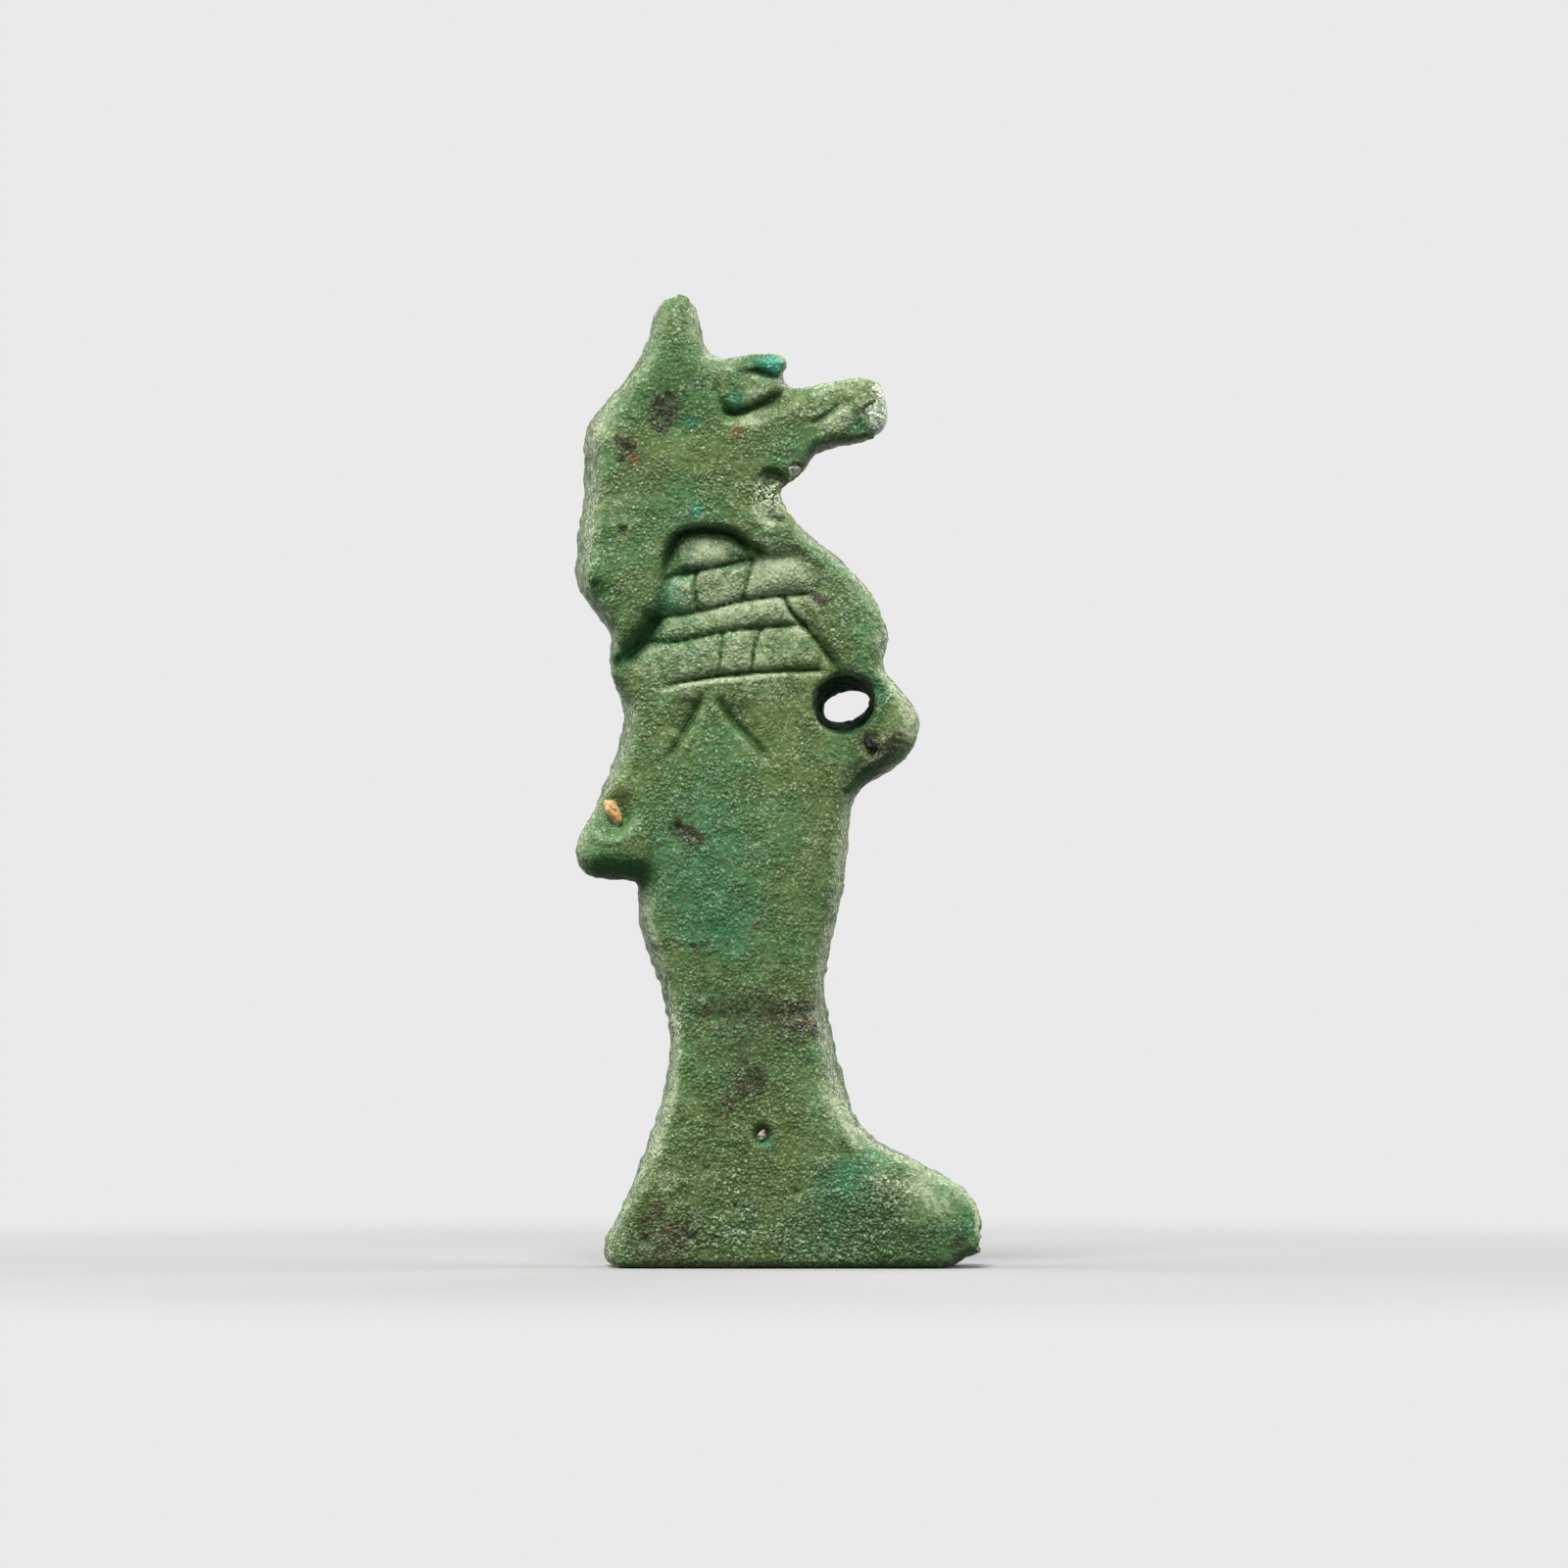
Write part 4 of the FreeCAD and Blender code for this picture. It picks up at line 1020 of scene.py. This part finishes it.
def coloured(piece, plan, rim, thickness):
    """Records where the glaze pools and where shade is painted, where it is worn and where highlights are
    painted, and where it is stained.
    """
    mesh = piece.data
    places, normals = surface_of(mesh)
    ahead = eased((back_y - places[:, 1] - 0.8) / 1.6)
    fine, hollow, wide = (
        plan.sampled(plan.blurred(thickness, width) - thickness, places) for width in (0.09, 0.2, 0.6))
    inner = eased((plan.sampled(rim, places) - 0.55) / 0.5) * ahead
    window_x, window_z = from_photo(window_px)
    in_hole = eased((1.12 - np.hypot(places[:, 0] - window_x, places[:, 2] - window_z)) / 0.16)
    # Undersides that face down near the outline, where painted shade is laid
    under = eased((-normals[:, 2] - 0.12) / 0.6) * eased((places[:, 2] - 1.0) / 0.6)

    # Glaze pools darker in the hollows, and the same dark is laid as painted shade in the creases, inside
    # the hole and under the forms that overhang
    collar_or_eye = np.maximum(edge(plan.inside_of(panel_px), 0.3), plan.spot(770, 396, 1.1))
    creases = 0.8 * np.clip(fine / 0.05, 0, 1)
    pool_and_shade = 0.75 * np.clip(hollow / 0.2, 0, 1) + 0.5 * np.clip(wide / 0.35, 0, 1)
    pool_and_shade = inner * blend(pool_and_shade, creases, 0.9 * plan.sampled(collar_or_eye, places))
    clear = plan.sampled(1 - np.clip(plan.marks(clear_px), 0, 0.9), places)
    pooled_and_shaded = plan.marks(pool_and_shade_px)
    # Painted shadow under the wig's arch and in the lappet's hollow, over glaze pooled there
    for name, half_width in (("under_arch", 0.18), ("lappet_end", 0.30)):
        pooled_and_shaded += 0.8 * plan.band(cut_lines_px[name][0], half_width)
    pool_and_shade += plan.sampled(pooled_and_shaded, places) * ahead
    under = under * (1 - 0.8 * inner)
    down_left = ((window_x - places[:, 0]) * 0.8 + (window_z - places[:, 2]) * 0.6) / 0.7
    far_rim = in_hole * eased(down_left) * eased((places[:, 1] - back_y + 1.3) / 0.5)
    # Painted shade inside the hole and under the overhanging forms; the far lower rim of the hole is left
    # pale
    pool_and_shade = pool_and_shade * clear + in_hole + 0.6 * under * ahead
    pool_and_shade = np.clip(pool_and_shade * (1 - 0.9 * far_rim), 0, 1)
    record(mesh, "pool_and_shade", pool_and_shade)

    # It is rubbed pale on the sides and on what stands out, and worn away altogether in places. Raised
    # edges that face up are also painted lighter as highlight, and the pale lines and spots of the front
    # mix rubbed wear with painted highlights and glints.
    side = 1 - eased((abs(normals[:, 1]) - 0.12) / 0.45)
    ridge_wear_and_highlight = np.clip(-hollow / 0.06, 0, 1) * inner * eased(normals[:, 2] * 0.8 + 0.5)
    patchy = 0.6 + 0.6 * noise_at(places, 1.3, 55) + 0.9 * noise_at(places, 0.3, 56)
    rubbed_side = blend(0.42, 0.90, ahead) * side * patchy * (1 - in_hole)
    wear_and_highlight = (rubbed_side + 0.5 * ridge_wear_and_highlight) * (1 - 0.7 * under) + 0.3 * (1 - ahead) * (1 - side)
    worn_and_lit_marks = plan.marks(pale_px)
    for places_px, half_width, strength in pale_lines_px.values():
        worn_and_lit_marks += strength * plan.band(places_px, half_width)
    wear_and_highlight = wear_and_highlight + plan.sampled(worn_and_lit_marks, places) * ahead * (1 - 0.7 * pool_and_shade)
    wear_and_highlight = wear_and_highlight * (1 - 0.8 * in_hole) + 1.1 * far_rim
    record(mesh, "wear_and_highlight", np.clip(wear_and_highlight + worn_away(places), 0, 1.3))

    # Stains and rough places, and brown laid inside the hole, away from its far lower rim, as painted shade
    stains = {"brown": brown_px, "turquoise": turquoise_px, "rust": rust_px, "olive": olive_px}
    for name, spots in stains.items():
        back_marks = 0.45 * np.clip(3 * noise_at(places, 2.4, len(name)) - 1, 0, 1) * (1 - ahead)
        marked = plan.sampled(plan.marks(spots), places) * ahead + back_marks
        record(mesh, name, marked * (1 - in_hole) + 0.5 * in_hole * (1 - far_rim) * (name == "brown"))
    rough = plan.sampled(plan.marks(rough_px), places) * ahead + 0.7 * side * (1 - in_hole)
    record(mesh, "rough", rough + 0.8 * (1 - ahead) * (1 - side))


def crumb(name, material, seed, length, lean, sharp):
    """An irregular stone that fills the space of its node, longer than wide and leaning."""
    low, high = np.array(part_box(name)) / MM
    ball = bmesh.new()
    bmesh.ops.create_icosphere(ball, subdivisions=5, radius=1)
    ball.verts.index_update()
    places = np.array([corner.co for corner in ball.verts])
    faces = np.array([[corner.index for corner in face.verts] for face in ball.faces])
    ball.free()
    uneven = 1 + sharp * noise_at(places, 0.8, seed) + 0.5 * sharp * noise_at(places, 0.3, seed + 1)
    places = places * uneven[:, None] * (1, 1, length)
    across, up = places[:, 0].copy(), places[:, 2].copy()
    turn = math.radians(lean)
    places[:, 0] = across * math.cos(turn) - up * math.sin(turn)
    places[:, 2] = across * math.sin(turn) + up * math.cos(turn)
    reach_low, reach_high = places.min(0), places.max(0)
    places = low + (places - reach_low) / (reach_high - reach_low) * (high - low)
    return made_object(name + "_stone", places, faces, material)


def build_amulet():
    """Sculpts the amulet, wraps glaze and paste around it, and sets the grains in."""
    plan = Plan(low_mm, high_mm)
    rim = outline_field(plan)
    thickness = thickness_field(plan, rim)
    depths = np.arange(low_mm[1] - 4 * depth_pitch, back_y + 3 * depth_pitch, depth_pitch)
    field = solid_field(plan, rim, thickness, depths)
    corner = np.array([plan.x[0], depths[0], plan.z[0]])
    steps = np.array([pitch, depth_pitch, pitch])
    places, faces = wrapped(field, corner, steps)
    glaze = made_object("glaze_skin", places, faces, glaze_finish())
    roughened(glaze)
    coloured(glaze, plan, rim, thickness)

    coarse_places = np.stack(np.meshgrid(plan.x[::2], depths, plan.z[::2], indexing="ij"), -1)
    worn = worn_away(coarse_places)
    cover = glaze_t * (1 - eased((worn - 0.2) / 0.3)) * eased((coarse_places[..., 2] - 0.02) / 0.3)
    paste_field = field[::2, :, ::2] - cover - worn_drop * worn
    places, faces = wrapped(paste_field, corner, steps * (2, 1, 2))
    paste = made_object("paste_body", places, faces, paste_finish())

    ochre_grain = grain_finish("ochre_grain", (0.68, 0.42, 0.20), (0.52, 0.28, 0.08), 0.45, 0.35)
    black_grain = grain_finish("black_grain", (0.008, 0.006, 0.01), (0.002, 0.002, 0.003), 0.42, 0.15)
    pale_quartz = grain_finish("pale_quartz", (0.74, 0.70, 0.60), (0.45, 0.34, 0.24), 0.35, 0.15)
    ochre = crumb("ochre_crumb", ochre_grain, seed=61, length=2.2, lean=24, sharp=0.25)
    dark = crumb("dark_grain", black_grain, seed=62, length=1.6, lean=42, sharp=0.4)
    pale = crumb("pale_grain", pale_quartz, seed=63, length=1.4, lean=-30, sharp=0.4)
    for piece, node, slot in (
        (glaze, "glaze_coat", "green_glaze"),
        (paste, "faience_core", "quartz_paste"),
        (ochre, "ochre_crumb", "ochre_grain"),
        (dark, "dark_grain", "black_grain"),
        (pale, "pale_grain", "quartz_grain"),
    ):
        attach(piece, "root")
        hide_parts(node)


def lamp(name, place, target, size, power):
    light = bpy.data.lights.new(name, "AREA")
    light.shape = "RECTANGLE"
    light.size, light.size_y = size
    light.energy = power
    holder = bpy.data.objects.new(name, light)
    holder.location = place
    holder.rotation_euler = (Vector(target) - Vector(place)).to_track_quat("-Z", "Y").to_euler()
    bpy.context.scene.collection.objects.link(holder)


def seen_directly(nodes):
    """1 for what the camera, or a reflection of the surround, meets, and 0 for other light."""
    camera, glossy, through = (
        nodes.node("ShaderNodeLightPath", {}, {}, output)
        for output in ("Is Camera Ray", "Is Glossy Ray", "Is Transmission Ray"))
    return (camera + glossy + through).clipped()


def build_studio():
    """Pale floor that fades into a pale surround, soft lamps, and the camera."""
    finish = Finish("pale_floor")
    position = finish.node("ShaderNodeTexCoord", {}, {}, 3)
    distance = finish.node("ShaderNodeVectorMath", {"operation": "LENGTH"}, {0: position}, 1)
    fade_from, fade_to = 0.03, 0.06
    shown = 1 - finish.level(distance, fade_from, fade_to)
    dim, pale = (0.05, 0.05, 0.05), (0.34, 0.34, 0.34)
    finish.shade(
        Base_Color=finish.mix(seen_directly(finish), dim, pale),
        Roughness=0.8,
        Specular_IOR_Level=0.0,
    )
    clear = finish.node("ShaderNodeBsdfTransparent", {}, {})
    solid = Wire(finish, finish.shader.outputs[0])
    finish.feed(finish.surface, finish.node("ShaderNodeMixShader", {}, {0: shown, 1: clear, 2: solid}))

    half = 0.07
    corners = np.array([(-half, -half, 0), (half, -half, 0), (half, half, 0), (-half, half, 0)])
    floor = made_object("floor", corners / MM, np.array([[0, 1, 2, 3]]), finish.material)

    world = bpy.data.worlds.new("studio")
    world.use_nodes = True
    bpy.context.scene.world = world
    sky = Nodes(world.node_tree)
    cast, seen = 0.08, 0.82
    strength = sky.node("ShaderNodeMix", {"data_type": "FLOAT"}, {0: seen_directly(sky), 2: cast, 3: seen})
    background = sky.tree.nodes["Background"]
    sky.feed(background.inputs["Strength"], strength)
    sky.feed(background.inputs["Color"], (1, 1, 1))

    middle = (0, 0, 0.017)
    lamp("overhead", (-0.05, -0.20, 0.385), middle, (0.16, 0.16), 2.3)
    lamp("left_rim", (-0.34, 0.00, 0.20), middle, (0.36, 0.22), 1.4)
    lamp("right_rim", (0.34, 0.00, 0.20), middle, (0.36, 0.22), 1.4)
    lamp("front_fill", (0.05, -0.5, 0.22), middle, (0.25, 0.25), 0.52)
    lamp("back_fill", (0.15, 0.42, 0.40), middle, (0.30, 0.30), 1.2)

    camera = bpy.data.cameras.new("camera")
    camera.sensor_width = 36.0
    away = 0.5
    frame_width = picture_px / px_per_mm * MM
    camera.lens = camera.sensor_width * away / frame_width
    holder = bpy.data.objects.new("camera", camera)
    half_px = picture_px / 2
    x, z = from_photo((half_px, half_px)) * MM
    holder.location = (x, -away, z)
    holder.rotation_euler = (math.pi / 2, 0, 0)
    bpy.context.scene.collection.objects.link(holder)
    bpy.context.scene.camera = holder
    bpy.context.scene.view_settings.view_transform = "Standard"


build_amulet()
build_studio()
